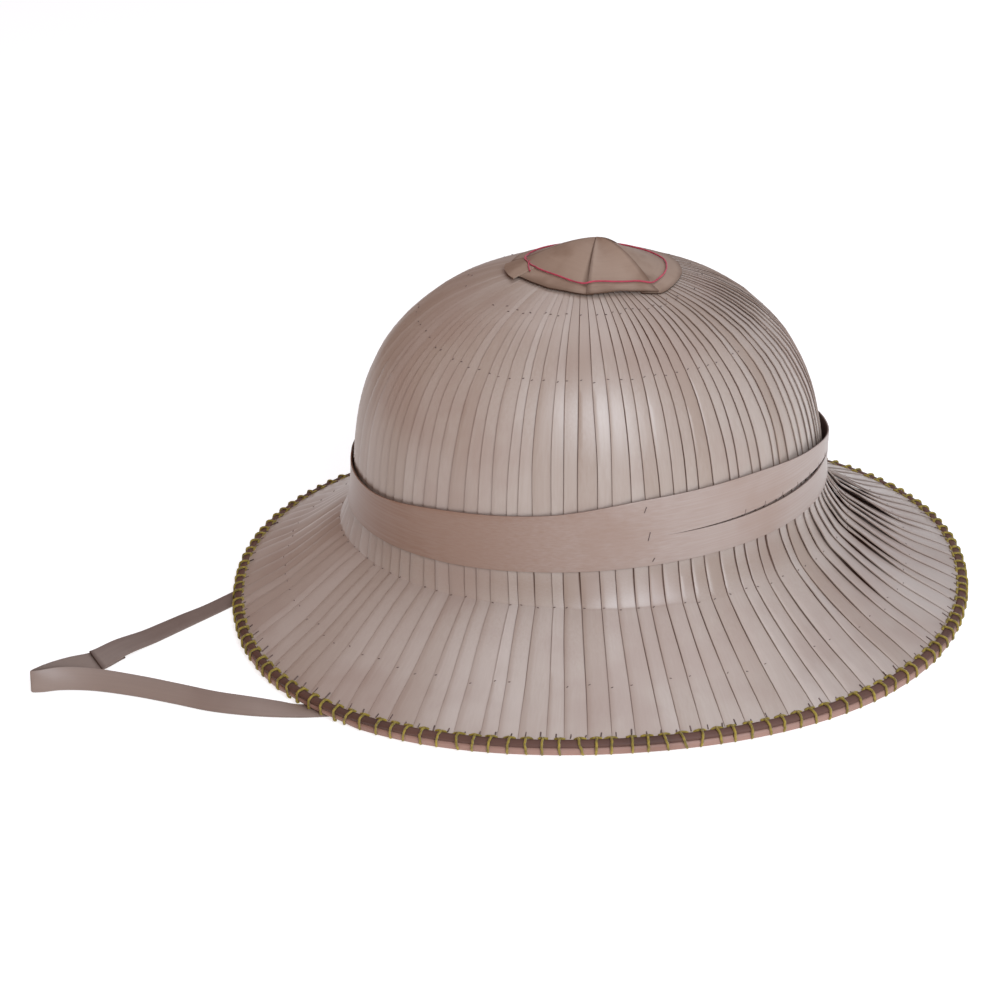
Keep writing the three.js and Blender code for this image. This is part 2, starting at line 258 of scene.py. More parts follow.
def sheet_rings(top: Array, thickness: Number) -> Array:
    """Rings of a thin sheet from its upper side.

    Args:
        top: rings x columns x 3, the upper side.
        thickness: how far the lower side lies under it, in millimetres.

    Returns:
        rings x 2 columns x 3, upper side and then lower side.
    """
    along = np.gradient(top, axis=0)
    across = np.gradient(top, axis=1)
    normal = np.cross(along, across)
    normal /= np.maximum(np.linalg.norm(normal, axis=2, keepdims=True), 1e-9)
    depth = np.asarray(thickness, float)
    depth = depth[..., None] if depth.ndim == 2 else depth
    return np.concatenate([top, (top - normal * depth)[:, ::-1]], axis=1)


def finish_piece(piece: bpy.types.Object, slot: Slot, *nodes: str) -> bpy.types.Object:
    """Lets a piece ride on the hat and hides the solids that it stands for."""
    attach(piece, BODY)
    if nodes:
        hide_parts(*nodes)
    LOG.info("%s: %d faces", piece.name, len(piece.data.polygons))
    return piece


# Node trees


def add_node(tree: bpy.types.NodeTree, kind: str, inputs: Optional[dict] = None, **settings: Any) -> Any:
    """Adds a node with its settings, values and links.

    Args:
        tree: the node tree.
        kind: the node's type name.
        inputs: value or output socket for each input, by name or number.
        settings: properties of the node.

    Returns:
        The new node.
    """
    node = tree.nodes.new(kind)
    for name, value in settings.items():
        setattr(node, name, value)
    for key, value in (inputs or {}).items():
        if isinstance(value, bpy.types.NodeSocket):
            tree.links.new(value, node.inputs[key])
        else:
            node.inputs[key].default_value = value
    return node


def linear(code: str) -> tuple[float, float, float, float]:
    """Linear colour of an sRGB hex code."""
    parts = [int(code[i : i + 2], 16) / 255.0 for i in (1, 3, 5)]
    return (*[c / 12.92 if c <= 0.04045 else ((c + 0.055) / 1.055) ** 2.4 for c in parts], 1.0)


@dataclass(frozen=True)
class LeafFinish:
    """Dried leaf or split cane: long fibres, slow blotches, a satin face, painted shade and dark cut edges."""

    name: str
    light: str
    dark: str
    blotch: str
    # Colour of the painted shade, also used for dark cut edges
    shade_and_edge: str
    roughness: float = 0.42
    fibre_mm: float = 0.9
    fibre_long_mm: float = 60.0
    blotch_mm: float = 38.0
    blotch_share: float = 0.5
    bump_mm: float = 0.05
    specular: float = 0.5

    def build(self) -> bpy.types.Material:
        """Builds the material from the leaf's own maps."""
        material = bpy.data.materials.new(self.name)
        material.use_nodes = True
        tree = material.node_tree
        tree.nodes.clear()
        uv = add_node(tree, "ShaderNodeUVMap", uv_map=LeafMap.UV.value)
        tone = add_node(tree, "ShaderNodeAttribute", attribute_name=LeafMap.TONE.value)
        # Painted shade and dark cut edges, read from the leaf's own map
        dark = add_node(tree, "ShaderNodeAttribute", attribute_name=LeafMap.SHADE_AND_EDGE.value)
        place = add_node(tree, "ShaderNodeTexCoord")
        # Fibres: noise drawn out along the grain, coarser than real vein spacing so that it shows
        fibre_scale = (1 / self.fibre_mm, 1 / self.fibre_long_mm, 1.0)
        shift = add_node(tree, "ShaderNodeCombineXYZ", {"Z": tone.outputs["Fac"]})
        spread = add_node(
            tree, "ShaderNodeVectorMath", {0: shift.outputs[0], 1: (0.0, 0.0, 57.0)}, operation="MULTIPLY"
        )
        grain_place = add_node(
            tree,
            "ShaderNodeVectorMath",
            {0: uv.outputs["UV"], 1: fibre_scale, 2: spread.outputs[0]},
            operation="MULTIPLY_ADD",
        )
        grain = add_node(tree, "ShaderNodeTexNoise", {"Vector": grain_place.outputs[0], "Scale": 1.0, "Detail": 3.0})
        # Blotches: slow stains over the whole piece
        stain = add_node(
            tree,
            "ShaderNodeTexNoise",
            {"Vector": place.outputs["Object"], "Scale": 1000.0 / self.blotch_mm, "Detail": 3.0},
        )
        stain_share = add_node(
            tree,
            "ShaderNodeMapRange",
            {"Value": stain.outputs["Fac"], "From Min": 0.42, "From Max": 0.72, "To Max": self.blotch_share},
            interpolation_type="SMOOTHSTEP",
        )
        mixed = add_node(
            tree,
            "ShaderNodeMath",
            {0: grain.outputs["Fac"], 1: 0.45, 2: tone.outputs["Fac"]},
            operation="MULTIPLY_ADD",
        )
        ground = add_node(tree, "ShaderNodeMapRange", {"Value": mixed.outputs[0], "From Min": 0.2, "From Max": 1.2})
        leaf = add_node(
            tree,
            "ShaderNodeMix",
            {"Factor": ground.outputs[0], 6: linear(self.dark), 7: linear(self.light)},
            data_type="RGBA",
        )
        stained = add_node(
            tree,
            "ShaderNodeMix",
            {"Factor": stain_share.outputs[0], 6: leaf.outputs[2], 7: linear(self.blotch)},
            data_type="RGBA",
        )
        # Painted shade: the leaf is mixed towards its shade colour where the map says so
        painted_shade_mix = add_node(
            tree,
            "ShaderNodeMix",
            {"Factor": dark.outputs["Fac"], 6: stained.outputs[2], 7: linear(self.shade_and_edge)},
            data_type="RGBA",
        )
        rough = add_node(
            tree,
            "ShaderNodeMapRange",
            {
                "Value": grain.outputs["Fac"],
                "To Min": self.roughness - 0.05,
                "To Max": self.roughness + 0.07,
            },
        )
        # The sheen is taken off where the painted shade lies
        shine = add_node(
            tree,
            "ShaderNodeMapRange",
            {"Value": dark.outputs["Fac"], "From Max": 0.7, "To Min": self.specular, "To Max": 0.0},
        )
        bump = add_node(
            tree,
            "ShaderNodeBump",
            {"Height": grain.outputs["Fac"], "Strength": 0.5, "Distance": self.bump_mm * MM},
        )
        shader = add_node(
            tree,
            "ShaderNodeBsdfPrincipled",
            {
                "Base Color": painted_shade_mix.outputs[2],
                "Roughness": rough.outputs[0],
                "Normal": bump.outputs[0],
                "IOR": 1.46,
                "Specular IOR Level": shine.outputs[0],
            },
        )
        add_node(tree, "ShaderNodeOutputMaterial", {"Surface": shader.outputs[0]})
        return material


@dataclass(frozen=True)
class ThreadFinish:
    """Twisted thread: matt fibre, lighter and darker by turns along its length."""

    name: str
    light: str
    dark: str
    roughness: float = 0.7
    ply_mm: float = 1.6

    def build(self) -> bpy.types.Material:
        """Builds the material; the ply is drawn coarser than real so that it shows."""
        material = bpy.data.materials.new(self.name)
        material.use_nodes = True
        tree = material.node_tree
        tree.nodes.clear()
        place = add_node(tree, "ShaderNodeTexCoord")
        ply = add_node(
            tree,
            "ShaderNodeTexNoise",
            {"Vector": place.outputs["Object"], "Scale": 1000.0 / self.ply_mm, "Detail": 2.0},
        )
        share = add_node(tree, "ShaderNodeMapRange", {"Value": ply.outputs["Fac"], "From Min": 0.3, "From Max": 0.7})
        colour = add_node(
            tree,
            "ShaderNodeMix",
            {"Factor": share.outputs[0], 6: linear(self.dark), 7: linear(self.light)},
            data_type="RGBA",
        )
        bump = add_node(
            tree, "ShaderNodeBump", {"Height": ply.outputs["Fac"], "Strength": 0.6, "Distance": 0.15 * MM}
        )
        shader = add_node(
            tree,
            "ShaderNodeBsdfPrincipled",
            {
                "Base Color": colour.outputs[2],
                "Roughness": self.roughness,
                "Normal": bump.outputs[0],
                "Sheen Weight": 0.2,
            },
        )
        add_node(tree, "ShaderNodeOutputMaterial", {"Surface": shader.outputs[0]})
        return material


# The fourth colour of each leaf finish is its painted shade colour, also used for dark cut edges
# Palm leaf, bleached and pressed: pale buff with a satin wax and grey-pink stains
PALM = LeafFinish("bleached_palm_leaf", "#B6A89E", "#9D897B", "#9A8276", "#45291F", roughness=0.35, specular=0.75)
# Palm leaf of the cap, rubbed and handled: browner and matt
CAP_LEAF = LeafFinish(
    "handled_palm_leaf", "#9F8775", "#876F5F", "#7E6350", "#3A2119", roughness=0.55, blotch_mm=15.0, blotch_share=0.75
)
# Outer leaf of the band, smooth and close-grained: the sheen shows as long soft lights
BAND_LEAF = LeafFinish(
    "smooth_palm_leaf", "#B2A39B", "#88654F", "#967A6A", "#3F2620", roughness=0.34, fibre_mm=0.6, fibre_long_mm=90.0
)
# Split bamboo, scraped: pinkish cane with long fibres
BAMBOO = LeafFinish(
    "scraped_split_bamboo", "#B08C80", "#8C6858", "#7E5B4C", "#3E261E", roughness=0.5, fibre_mm=0.35, fibre_long_mm=25.0
)
# Dark leaf-base strip under the lashing: dull brown
BINDING = LeafFinish("dark_leaf_base", "#6B493D", "#4C3128", "#3C261F", "#22130F", roughness=0.62, fibre_mm=0.5)
# Strap leaf, bent and worn: grey-brown with a low sheen
STRAP_LEAF = LeafFinish("strap_palm_leaf", "#988579", "#85736A", "#7C675C", "#3A2620", roughness=0.42, fibre_mm=0.8)
# Waxed cotton in old gold
GOLD_THREAD = ThreadFinish("waxed_gold_cotton", "#A18B2C", "#685817")
# Crimson sewing cotton
RED_THREAD = ThreadFinish("crimson_cotton", "#C03A50", "#9A3040", ply_mm=2.2)
# Grey-brown sewing thread with wear
SEWING_THREAD = ThreadFinish("brown_sewing_cotton", "#78625A", "#40302A")


class Threads:
    """Round threads swept along lines, and stitches set on points, by Geometry Nodes."""

    def __init__(self) -> None:
        self.sweep = self._sweep_tree()
        self.dots = self._dot_tree()

    @staticmethod
    def _new_tree(name: str, sockets: Sequence[tuple[str, str]]) -> bpy.types.NodeTree:
        """Starts a tree with a geometry going in and out and the named inputs."""
        tree = bpy.data.node_groups.new(name, "GeometryNodeTree")
        tree.interface.new_socket("Geometry", in_out="OUTPUT", socket_type="NodeSocketGeometry")
        tree.interface.new_socket("Geometry", in_out="INPUT", socket_type="NodeSocketGeometry")
        for label, kind in sockets:
            tree.interface.new_socket(label, in_out="INPUT", socket_type=kind)
        return tree

    def _sweep_tree(self) -> bpy.types.NodeTree:
        """Tree that turns every chain of edges into a round thread."""
        tree = self._new_tree(
            "thread_sweep",
            [("Radius", "NodeSocketFloat"), ("Sides", "NodeSocketInt"), ("Finish", "NodeSocketMaterial")],
        )
        source = add_node(tree, "NodeGroupInput")
        line = add_node(tree, "GeometryNodeMeshToCurve", {"Mesh": source.outputs["Geometry"]})
        ring = add_node(
            tree,
            "GeometryNodeCurvePrimitiveCircle",
            {"Resolution": source.outputs["Sides"], "Radius": source.outputs["Radius"]},
        )
        body = add_node(
            tree,
            "GeometryNodeCurveToMesh",
            {"Curve": line.outputs[0], "Profile Curve": ring.outputs[0], "Fill Caps": True},
        )
        soft = add_node(tree, "GeometryNodeSetShadeSmooth", {"Geometry": body.outputs[0]})
        self._end(tree, soft.outputs[0], source)
        return tree

    def _dot_tree(self) -> bpy.types.NodeTree:
        """Tree that lays a short stitch on every point, along its own directions."""
        tree = self._new_tree("stitch_dots", [("Size", "NodeSocketVector"), ("Finish", "NodeSocketMaterial")])
        source = add_node(tree, "NodeGroupInput")
        along = add_node(tree, "GeometryNodeInputNamedAttribute", {"Name": "along"}, data_type="FLOAT_VECTOR")
        out = add_node(tree, "GeometryNodeInputNamedAttribute", {"Name": "out"}, data_type="FLOAT_VECTOR")
        turn = add_node(
            tree,
            "FunctionNodeAxesToRotation",
            {"Primary Axis": out.outputs[0], "Secondary Axis": along.outputs[0]},
            primary_axis="Z",
            secondary_axis="X",
        )
        bead = add_node(tree, "GeometryNodeMeshIcoSphere", {"Radius": 0.5, "Subdivisions": 2})
        laid = add_node(
            tree,
            "GeometryNodeInstanceOnPoints",
            {
                "Points": source.outputs["Geometry"],
                "Instance": bead.outputs["Mesh"],
                "Rotation": turn.outputs[0],
                "Scale": source.outputs["Size"],
            },
        )
        self._end(tree, laid.outputs[0], source)
        return tree

    @staticmethod
    def _end(tree: bpy.types.NodeTree, geometry: bpy.types.NodeSocket, source: bpy.types.Node) -> None:
        """Ends a tree in real geometry with its finish."""
        real = add_node(tree, "GeometryNodeRealizeInstances", {"Geometry": geometry})
        dressed = add_node(
            tree,
            "GeometryNodeSetMaterial",
            {"Geometry": real.outputs[0], "Material": source.outputs["Finish"]},
        )
        add_node(tree, "NodeGroupOutput", {"Geometry": dressed.outputs[0]})

    @staticmethod
    def _apply(piece: bpy.types.Object, tree: bpy.types.NodeTree, values: dict[str, Any]) -> bpy.types.Object:
        """Runs a tree on an object and keeps the result as a plain mesh."""
        modifier = piece.modifiers.new("stitching", "NODES")
        modifier.node_group = tree
        for item in tree.interface.items_tree:
            if item.in_out == "INPUT" and item.name in values:
                modifier[item.identifier] = values[item.name]
        graph = bpy.context.evaluated_depsgraph_get()
        made = bpy.data.meshes.new_from_object(piece.evaluated_get(graph))
        piece.modifiers.remove(modifier)
        piece.data = made
        made.name = piece.name
        return piece

    def lay(
        self, name: str, lines: Sequence[Array], radius: float, finish: bpy.types.Material, sides: int = 6
    ) -> bpy.types.Object:
        """Sweeps threads along lines.

        Args:
            name: the piece's name.
            lines: points of each thread in millimetres; a line whose ends meet is closed.
            radius: thread radius in millimetres.
            finish: the thread's material.
            sides: faces round the thread.

        Returns:
            The piece, one plain mesh.
        """
        points, edges = [], []
        for line in lines:
            start = len(points)
            closed = np.linalg.norm(line[0] - line[-1]) < 1e-6
            kept = line[:-1] if closed else line
            points.extend((kept * MM).tolist())
            edges.extend((start + i, start + i + 1) for i in range(len(kept) - 1))
            if closed:
                edges.append((start + len(kept) - 1, start))
        mesh = bpy.data.meshes.new(name)
        mesh.from_pydata(points, edges, [])
        piece = link_object(name, mesh)
        return self._apply(piece, self.sweep, {"Radius": radius * MM, "Sides": sides, "Finish": finish})

    def dot(
        self,
        name: str,
        places: Array,
        along: Array,
        out: Array,
        size: tuple[float, float, float],
        finish: bpy.types.Material,
    ) -> bpy.types.Object:
        """Lays a short stitch on each place.

        Args:
            name: the piece's name.
            places: middle of each stitch in millimetres.
            along: direction of each stitch.
            out: outward direction at each stitch.
            size: length, width and height of a stitch in millimetres.
            finish: the thread's material.

        Returns:
            The piece, one plain mesh.
        """
        mesh = bpy.data.meshes.new(name)
        mesh.from_pydata((places * MM).tolist(), [], [])
        for key, values in (("along", along), ("out", out)):
            attribute = mesh.attributes.new(key, "FLOAT_VECTOR", "POINT")
            attribute.data.foreach_set("vector", np.asarray(values, np.float32).reshape(-1))
        piece = link_object(name, mesh)
        scale = tuple(side * MM for side in size)
        return self._apply(piece, self.dots, {"Size": scale, "Finish": finish})


# The hat's own form


@dataclass(frozen=True)
class HatForm:
    """Outside of the lapped leaf wall, from the cap to the rim, as the solids have it."""

    rim_length: float = 318.3
    rim_width: float = 290.6
    rim_square: float = 2.66
    lobe_reach: float = 1.28
    lobe_angle: float = 7.5
    crown_x: float = -3.25
    crown_y: float = 5.1
    crown_foot: float = 48.0
    crown_top: float = 146.5
    fade_height: float = 36.0
    crease: float = 31.6
    fan: float = 0.07
    back_pull: float = 5.0
    # Sections of the wall: height, half length, half width
    heights: tuple[float, ...] = (4.3, 8.1, 14.0, 26.0, 36.0, 48.0, 68.0, 86.0, 106.0, 121.0, 133.0, 141.0, 145.0)
    along: tuple[float, ...] = (156.2, 148.2, 135.5, 117.5, 107.0, 100.8, 98.6, 95.2, 86.8, 74.6, 58.0, 38.0, 20.0)
    across: tuple[float, ...] = (142.3, 133.8, 119.6, 102.0, 90.4, 84.2, 81.2, 78.2, 71.2, 61.2, 47.6, 31.2, 16.4)
    crease_along: float = 104.4
    crease_across: float = 88.0

    def softness(self, angle: Number) -> Number:
        """How softly the brim leaves the wall: a crisp fold at the left and a sweep at the right."""
        right = smooth_step(angle, -112.0, -40.0) * (1 - smooth_step(angle, 45.0, 120.0))
        left = smooth_step(turn_between(angle, -90.0), -62.0, -95.0)
        return 0.1 + 0.9 * right + 0.45 * left * (1 - right)

    def half_sizes(self, angle: Number, z: Number) -> tuple[Number, Number]:
        """Half length and half width of the wall's section at a height, for an angle."""
        soft = self.softness(angle)
        low = sum(1 for h in self.heights if h < 20.0)
        high = sum(1 for h in self.heights if h < self.crown_foot)
        found = []
        for sizes, fold in ((self.along, self.crease_along), (self.across, self.crease_across)):
            sweep = EasedCurve(self.heights, sizes).at(z)
            brim = EasedCurve((*self.heights[:low], self.crease), (*sizes[:low], fold)).at(z)
            wall = EasedCurve((self.crease, *self.heights[high:]), (fold, *sizes[high:])).at(z)
            folded = np.where(np.asarray(z) < self.crease, brim, wall)
            found.append(soft * sweep + (1 - soft) * folded)
        return found[0], found[1]

    def rim_reach(self, angle: Number, z: Number) -> Number:
        """How far the rim stands out of a plain oval, fading out up the brim."""
        turn = np.radians(angle)
        lobes = self.lobe_reach * np.cos(3 * (turn - math.radians(self.lobe_angle)))
        reach = self.rim_square * (1 - np.cos(4 * turn)) + lobes
        return reach * (1 - smooth_step(z, 0.0, self.fade_height))

    def pull(self, angle: Number, z: Number) -> Number:
        """How far the rim is drawn in at the back, fading out up the brim."""
        share = smooth_step(np.sin(np.radians(angle)), 0.0, 0.8)
        return self.back_pull * share * (1 - smooth_step(z, 0.0, self.fade_height))

    def middle(self, z: Number) -> tuple[Number, Number]:
        """Place of the wall's middle at a height."""
        phase = 3 * math.radians(self.lobe_angle)
        share = smooth_step(z, 0.0, self.fade_height)
        x = -math.cos(phase) * self.lobe_reach * (1 - share) + self.crown_x * share
        y = math.sin(phase) * self.lobe_reach * (1 - share) + self.crown_y * share
        return x, y

    def wall(self, angle: Number, z: Number, offset: Number) -> Array:
        """Point of the wall.

        Args:
            angle: degrees round the hat, -90 at the front.
            z: height of the wall's section.
            offset: how far it is moved out along the wall's normal, in millimetres.

        Returns:
            Points with x, y and z in the last axis.
        """
        step = 0.5
        along, across = self.half_sizes(angle, z)
        lower, _ = self.half_sizes(angle, np.asarray(z) - step)
        upper, _ = self.half_sizes(angle, np.asarray(z) + step)
        slope = (lower - upper) / (2 * step)
        size = np.sqrt(1 + slope**2)
        turn = np.radians(angle)
        turn = turn + self.fan * np.sin(2 * turn) * np.clip(1 - z / self.crown_foot, 0, 1)
        out = offset / size + self.rim_reach(angle, z)
        x, y = self.middle(z)
        return np.stack(
            np.broadcast_arrays(
                x + (along + out) * np.cos(turn),
                y + (across + out) * np.sin(turn) - self.pull(angle, z),
                z + offset * slope / size,
            ),
            axis=-1,
        )

    def crown(self, angle: Number, z: Number, offset: Number) -> Array:
        """Point over the crown's wall, moved straight out."""
        along, across = self.half_sizes(angle, z)
        turn = np.radians(angle)
        return np.stack(
            np.broadcast_arrays(
                self.crown_x + (along + offset) * np.cos(turn),
                self.crown_y + (across + offset) * np.sin(turn),
                np.asarray(z, float),
            ),
            axis=-1,
        )

    def crown_height(self, x: Number, y: Number) -> Number:
        """Height of the crown's outside over a point near its top."""
        ratio = self.across[-2] / self.along[-2]
        reach = np.hypot(np.asarray(x) - self.crown_x, (np.asarray(y) - self.crown_y) / ratio)
        return np.interp(reach, (0.0, *self.along[::-1]), (self.crown_top, *self.heights[::-1]))

    def rim(self, angle: Number, inset: Number, z: Number) -> Array:
        """Point near the rim, inset from its outer edge."""
        turn = np.radians(angle)
        reach = self.rim_reach(angle, 0.0) - inset
        x, y = self.middle(0.0)
        return np.stack(
            np.broadcast_arrays(
                x + (self.rim_length / 2 + reach) * np.cos(turn),
                y + (self.rim_width / 2 + reach) * np.sin(turn) - self.pull(angle, 0.0),
                np.asarray(z, float),
            ),
            axis=-1,
        )

    def even_rim_angles(self, count: int, start: float = -180.0) -> Array:
        """Angles that divide the rim into equal lengths."""
        fine = np.linspace(start, start + 360.0, 2881)
        line = self.rim(fine, 0.0, 0.0)
        run = np.concatenate([[0.0], np.cumsum(np.linalg.norm(np.diff(line, axis=0), axis=1))])
        return np.interp(np.arange(count) * run[-1] / count, run, fine)


@dataclass
class LeafStrips:
    """Crown and brim: leaf strips from the cap to the rim, each lying on its left-hand neighbour."""

    form: HatForm
    count: int = 98
    step: float = 0.72
    top_step: float = 0.35
    rim_step: float = 0.35
    leaf: float = 0.5
    lap: float = 0.24
    gape_lap: float = 0.65
    # Width in millimetres of the painted shadow line beside each strip's edge
    line: float = 0.46
    seed: int = 7
    # Drawn when the strips are built, and used again by the stitches
    edges: Array = field(init=False)
    wave: Array = field(init=False)
    wave_long: Array = field(init=False)
    wave_start: Array = field(init=False)
    gape: Array = field(init=False)
    shadow_line_share: Array = field(init=False)

    def rows(self) -> Array:
        """Heights of the cross-lines of a strip, close together at the fold."""
        top = np.linspace(145.0, 133.0, 7)
        dome = np.linspace(129.5, 52.0, 16)
        foot = np.array([49.0, 46.0, 43.0, 40.0, 37.0, 34.6, 33.1, 32.2, 31.6, 31.1, 30.4, 29.4])
        brim = np.array([28.0, 26.0, 23.5, 21.0, 18.5, 16.2, 14.5, 12.6, 10.8, 9.1, 7.5, 5.9, 4.3])
        return np.concatenate([top, dome, foot, brim])

    def stitch_height(self, row: int, angle: Number) -> Number:
        """Height of each sewn row at an angle."""
        second = 119.0 + 6.5 * smooth_step(turn_between(angle, -90.0), -20.0, -80.0)
        return (137.6 + 0 * second, second, self.form.crease + 0 * second, 14.5 + 0 * second)[row]

    def build(self, finish: bpy.types.Material) -> bpy.types.Object:
        """Builds all the strips as one piece."""
        rng = np.random.default_rng(self.seed)
        pitch = 360.0 / self.count
        edges = -180.0 + np.arange(self.count) * pitch + rng.uniform(-0.2, 0.2, self.count) * pitch
        self.edges = edges
        self.wave = rng.uniform(0.02, 0.09, self.count) * pitch
        self.wave_long = rng.uniform(45.0, 120.0, self.count)
        self.wave_start = rng.uniform(0.0, 2 * math.pi, self.count)
        self.gape = 0.2 + 0.8 * rng.uniform(0.0, 1.0, self.count) ** 2.2
        self.shadow_line_share = 0.25 + 1.45 * rng.uniform(0.0, 1.0, self.count) ** 1.6
        tones = np.clip(rng.normal(0.5, 0.17, self.count), 0.05, 0.95)
        z = self.rows()
        sheet = LeafMesh()
        for k in range(self.count):
            self._add_strip(sheet, k, z, float(tones[k]))
        return sheet.build("leaf_strips", finish)

    def edge(self, k: int, z: Array) -> Array:
        """Angle of a strip's upper edge at each height."""
        turns, strip = divmod(k, self.count)
        wander = np.sin(2 * math.pi * z / self.wave_long[strip] + self.wave_start[strip])
        return self.edges[strip] + 360.0 * turns + self.wave[strip] * wander

    def lift(self, k: int, angle: Array, z: Array) -> Array:
        """Height of a strip's upper edge over its neighbour."""
        strip = k % self.count
        below_cap = self.step + (self.top_step - self.step) * smooth_step(z, 133.0, 145.0)
        plain = self.rim_step + (below_cap - self.rim_step) * smooth_step(z, 4.3, 14.0)
        brim = 2.7 * hump(turn_between(angle, 0.0), 52.0) * hump(z - 29.0, 22.0)
        crown = 0.4 * hump(turn_between(angle, -5.0), 60.0) * hump(z - 128.0, 20.0)
        pins = sum(hump(z - self.stitch_height(row, angle), 6.0) for row in range(4))
        return (plain + (brim + crown) * self.gape[strip]) * (1 - 0.3 * pins)

    def _add_strip(self, sheet: LeafMesh, k: int, z: Array, tone: float) -> None:
        """Adds one strip as a closed thin sheet."""
        left, right = self.edge(k, z), self.edge(k + 1, z)
        raised = self.lift(k, left, z)
        wide = np.linalg.norm(self.form.wall(right, z, 0.0) - self.form.wall(left, z, 0.0), axis=1)
        # Painted shadow line in the gap beside the next strip's edge: its share of the strip's width, wider under the
        # band and thinner near the rim
        under_band = hump(z - 44.0, 16.0)
        share = self.shadow_line_share[(k + 1) % self.count]
        taper = np.clip(wide / 6.0, 0.3, 1.0) * (0.4 + 0.6 * smooth_step(z, 3.0, 24.0))
        dark = np.clip(self.line * share * taper * (0.8 + 0.9 * under_band) / wide, 0.012, 0.3)
        open_here = hump(turn_between(left, 0.0), 58.0) * hump(z - 30.0, 30.0)
        end = 1 + self.lap + self.gape_lap * np.minimum(1.0, 2 * open_here)
        columns = [0.0 * z, 0.03 + 0 * z, 0.3 + 0 * z, 0.65 + 0 * z, 1 - dark, 1 - 0.4 * dark, 1 + 0 * z, end]
        u = np.stack(columns, axis=1)
        angle = left[:, None] + (right - left)[:, None] * u
        slope = np.where(u <= 1, 1 - u, 0.5 * (1 - u))
        crown = 0.09 * np.sin(np.pi * np.clip(u, 0, 1)) * (wide / 6.0)[:, None]
        offset = raised[:, None] * slope + crown
        offset[:, 0] -= 0.1
        thick = np.minimum(self.leaf, 0.7 * raised)[:, None]
        top = self.form.wall(angle, z[:, None], offset)
        under = [7, 3, 0]
        bottom = self.form.wall(angle[:, under], z[:, None], offset[:, under] - thick)
        rings = np.concatenate([top, bottom], axis=1)
        run = np.concatenate([[0.0], np.cumsum(np.linalg.norm(np.diff(top[:, 3], axis=0), axis=1))])
        across = np.concatenate([u, u[:, under]], axis=1) * wide[:, None]
        uv = np.stack([across, np.broadcast_to(run[:, None], across.shape)], axis=-1)
        # Painted shade beside and under the next strip's edge, on the underside and on the raised left edge; it varies
        # along the strip and weakens near the rim
        shade_and_edge = np.array([0.35, 0.0, 0.0, 0.0, 0.0, 0.8, 1.0, 1.0, 0.6, 0.1, 0.75])
        shade_strength = 0.72 + 0.28 * np.sin(run / 9.0 + 5.0 * self.wave_start[k % self.count])
        # Painted shade on the wall under the band, from the left side round to the front
        fold = hump(z - 40.0, 9.0) * (1 - smooth_step(left, -50.0, -10.0))
        # Paler low on the brim and darker towards the crown's top
        height_tint = 0.2 * (1 - smooth_step(z, 18.0, 31.0)) - 0.35 * smooth_step(z, 95.0, 138.0)
        tint = tone + height_tint - 0.42 * fold + 0.08 * np.sin(run / 17.0 + self.wave_start[k % self.count])
        depth = shade_strength * (0.65 + 0.35 * smooth_step(z, 4.0, 24.0))
        sheet.add_tube(rings, uv, np.broadcast_to(tint[:, None], across.shape), np.outer(depth, shade_and_edge))

    def stitches(self, threads: Threads, finish: bpy.types.Material) -> bpy.types.Object:
        """Lays the small stitches that hold the strips, near each upper edge."""
        rng = np.random.default_rng(self.seed + 1)
        places, along, out = [], [], []
        for row in range(4):
            for k in range(self.count):
                hidden = 0.75 if row < 2 and abs(turn_between(self.edges[k], -85.0)) > 48.0 else 0.15
                if rng.uniform() < hidden:
                    continue
                z = float(self.stitch_height(row, self.edges[k])) + rng.uniform(-0.6, 0.6)
                spot = np.array([z])
                left, right = self.edge(k, spot), self.edge(k + 1, spot)
                share = rng.uniform(0.1, 0.2)
                angle = left + (right - left) * share
                offset = self.lift(k, left, spot) * (1 - share) + 0.12
                here = self.form.wall(angle, spot, offset)[0]
                aside = self.form.wall(angle + 0.5, spot, offset)[0] - here
                down = here - self.form.wall(angle, spot + 0.5, offset)[0]
                tilt = rng.uniform(-0.9, 0.6)
                aside /= np.linalg.norm(aside)
                down /= np.linalg.norm(down)
                places.append(here)
                along.append(aside + tilt * down)
                out.append(np.cross(down, aside))
        return threads.dot(
            "strip_stitches", np.array(places), np.array(along), np.array(out), (1.15, 0.4, 0.3), finish
        )


@dataclass(frozen=True)
class Facet:
    """One lapped leaf of the cap: its angles, the lift of its edges and body, its sag, tint and shaded fold."""

    start: float
    end: float
    first_lift: float
    last_lift: float
    lift: float
    tone: float
    sag: float = 0.0
    shade: float = 0.0
    shade_at: float = 0.0
    shade_wide: float = 1.0
    shade_fade: tuple[float, float] = (0.5, 1.05)


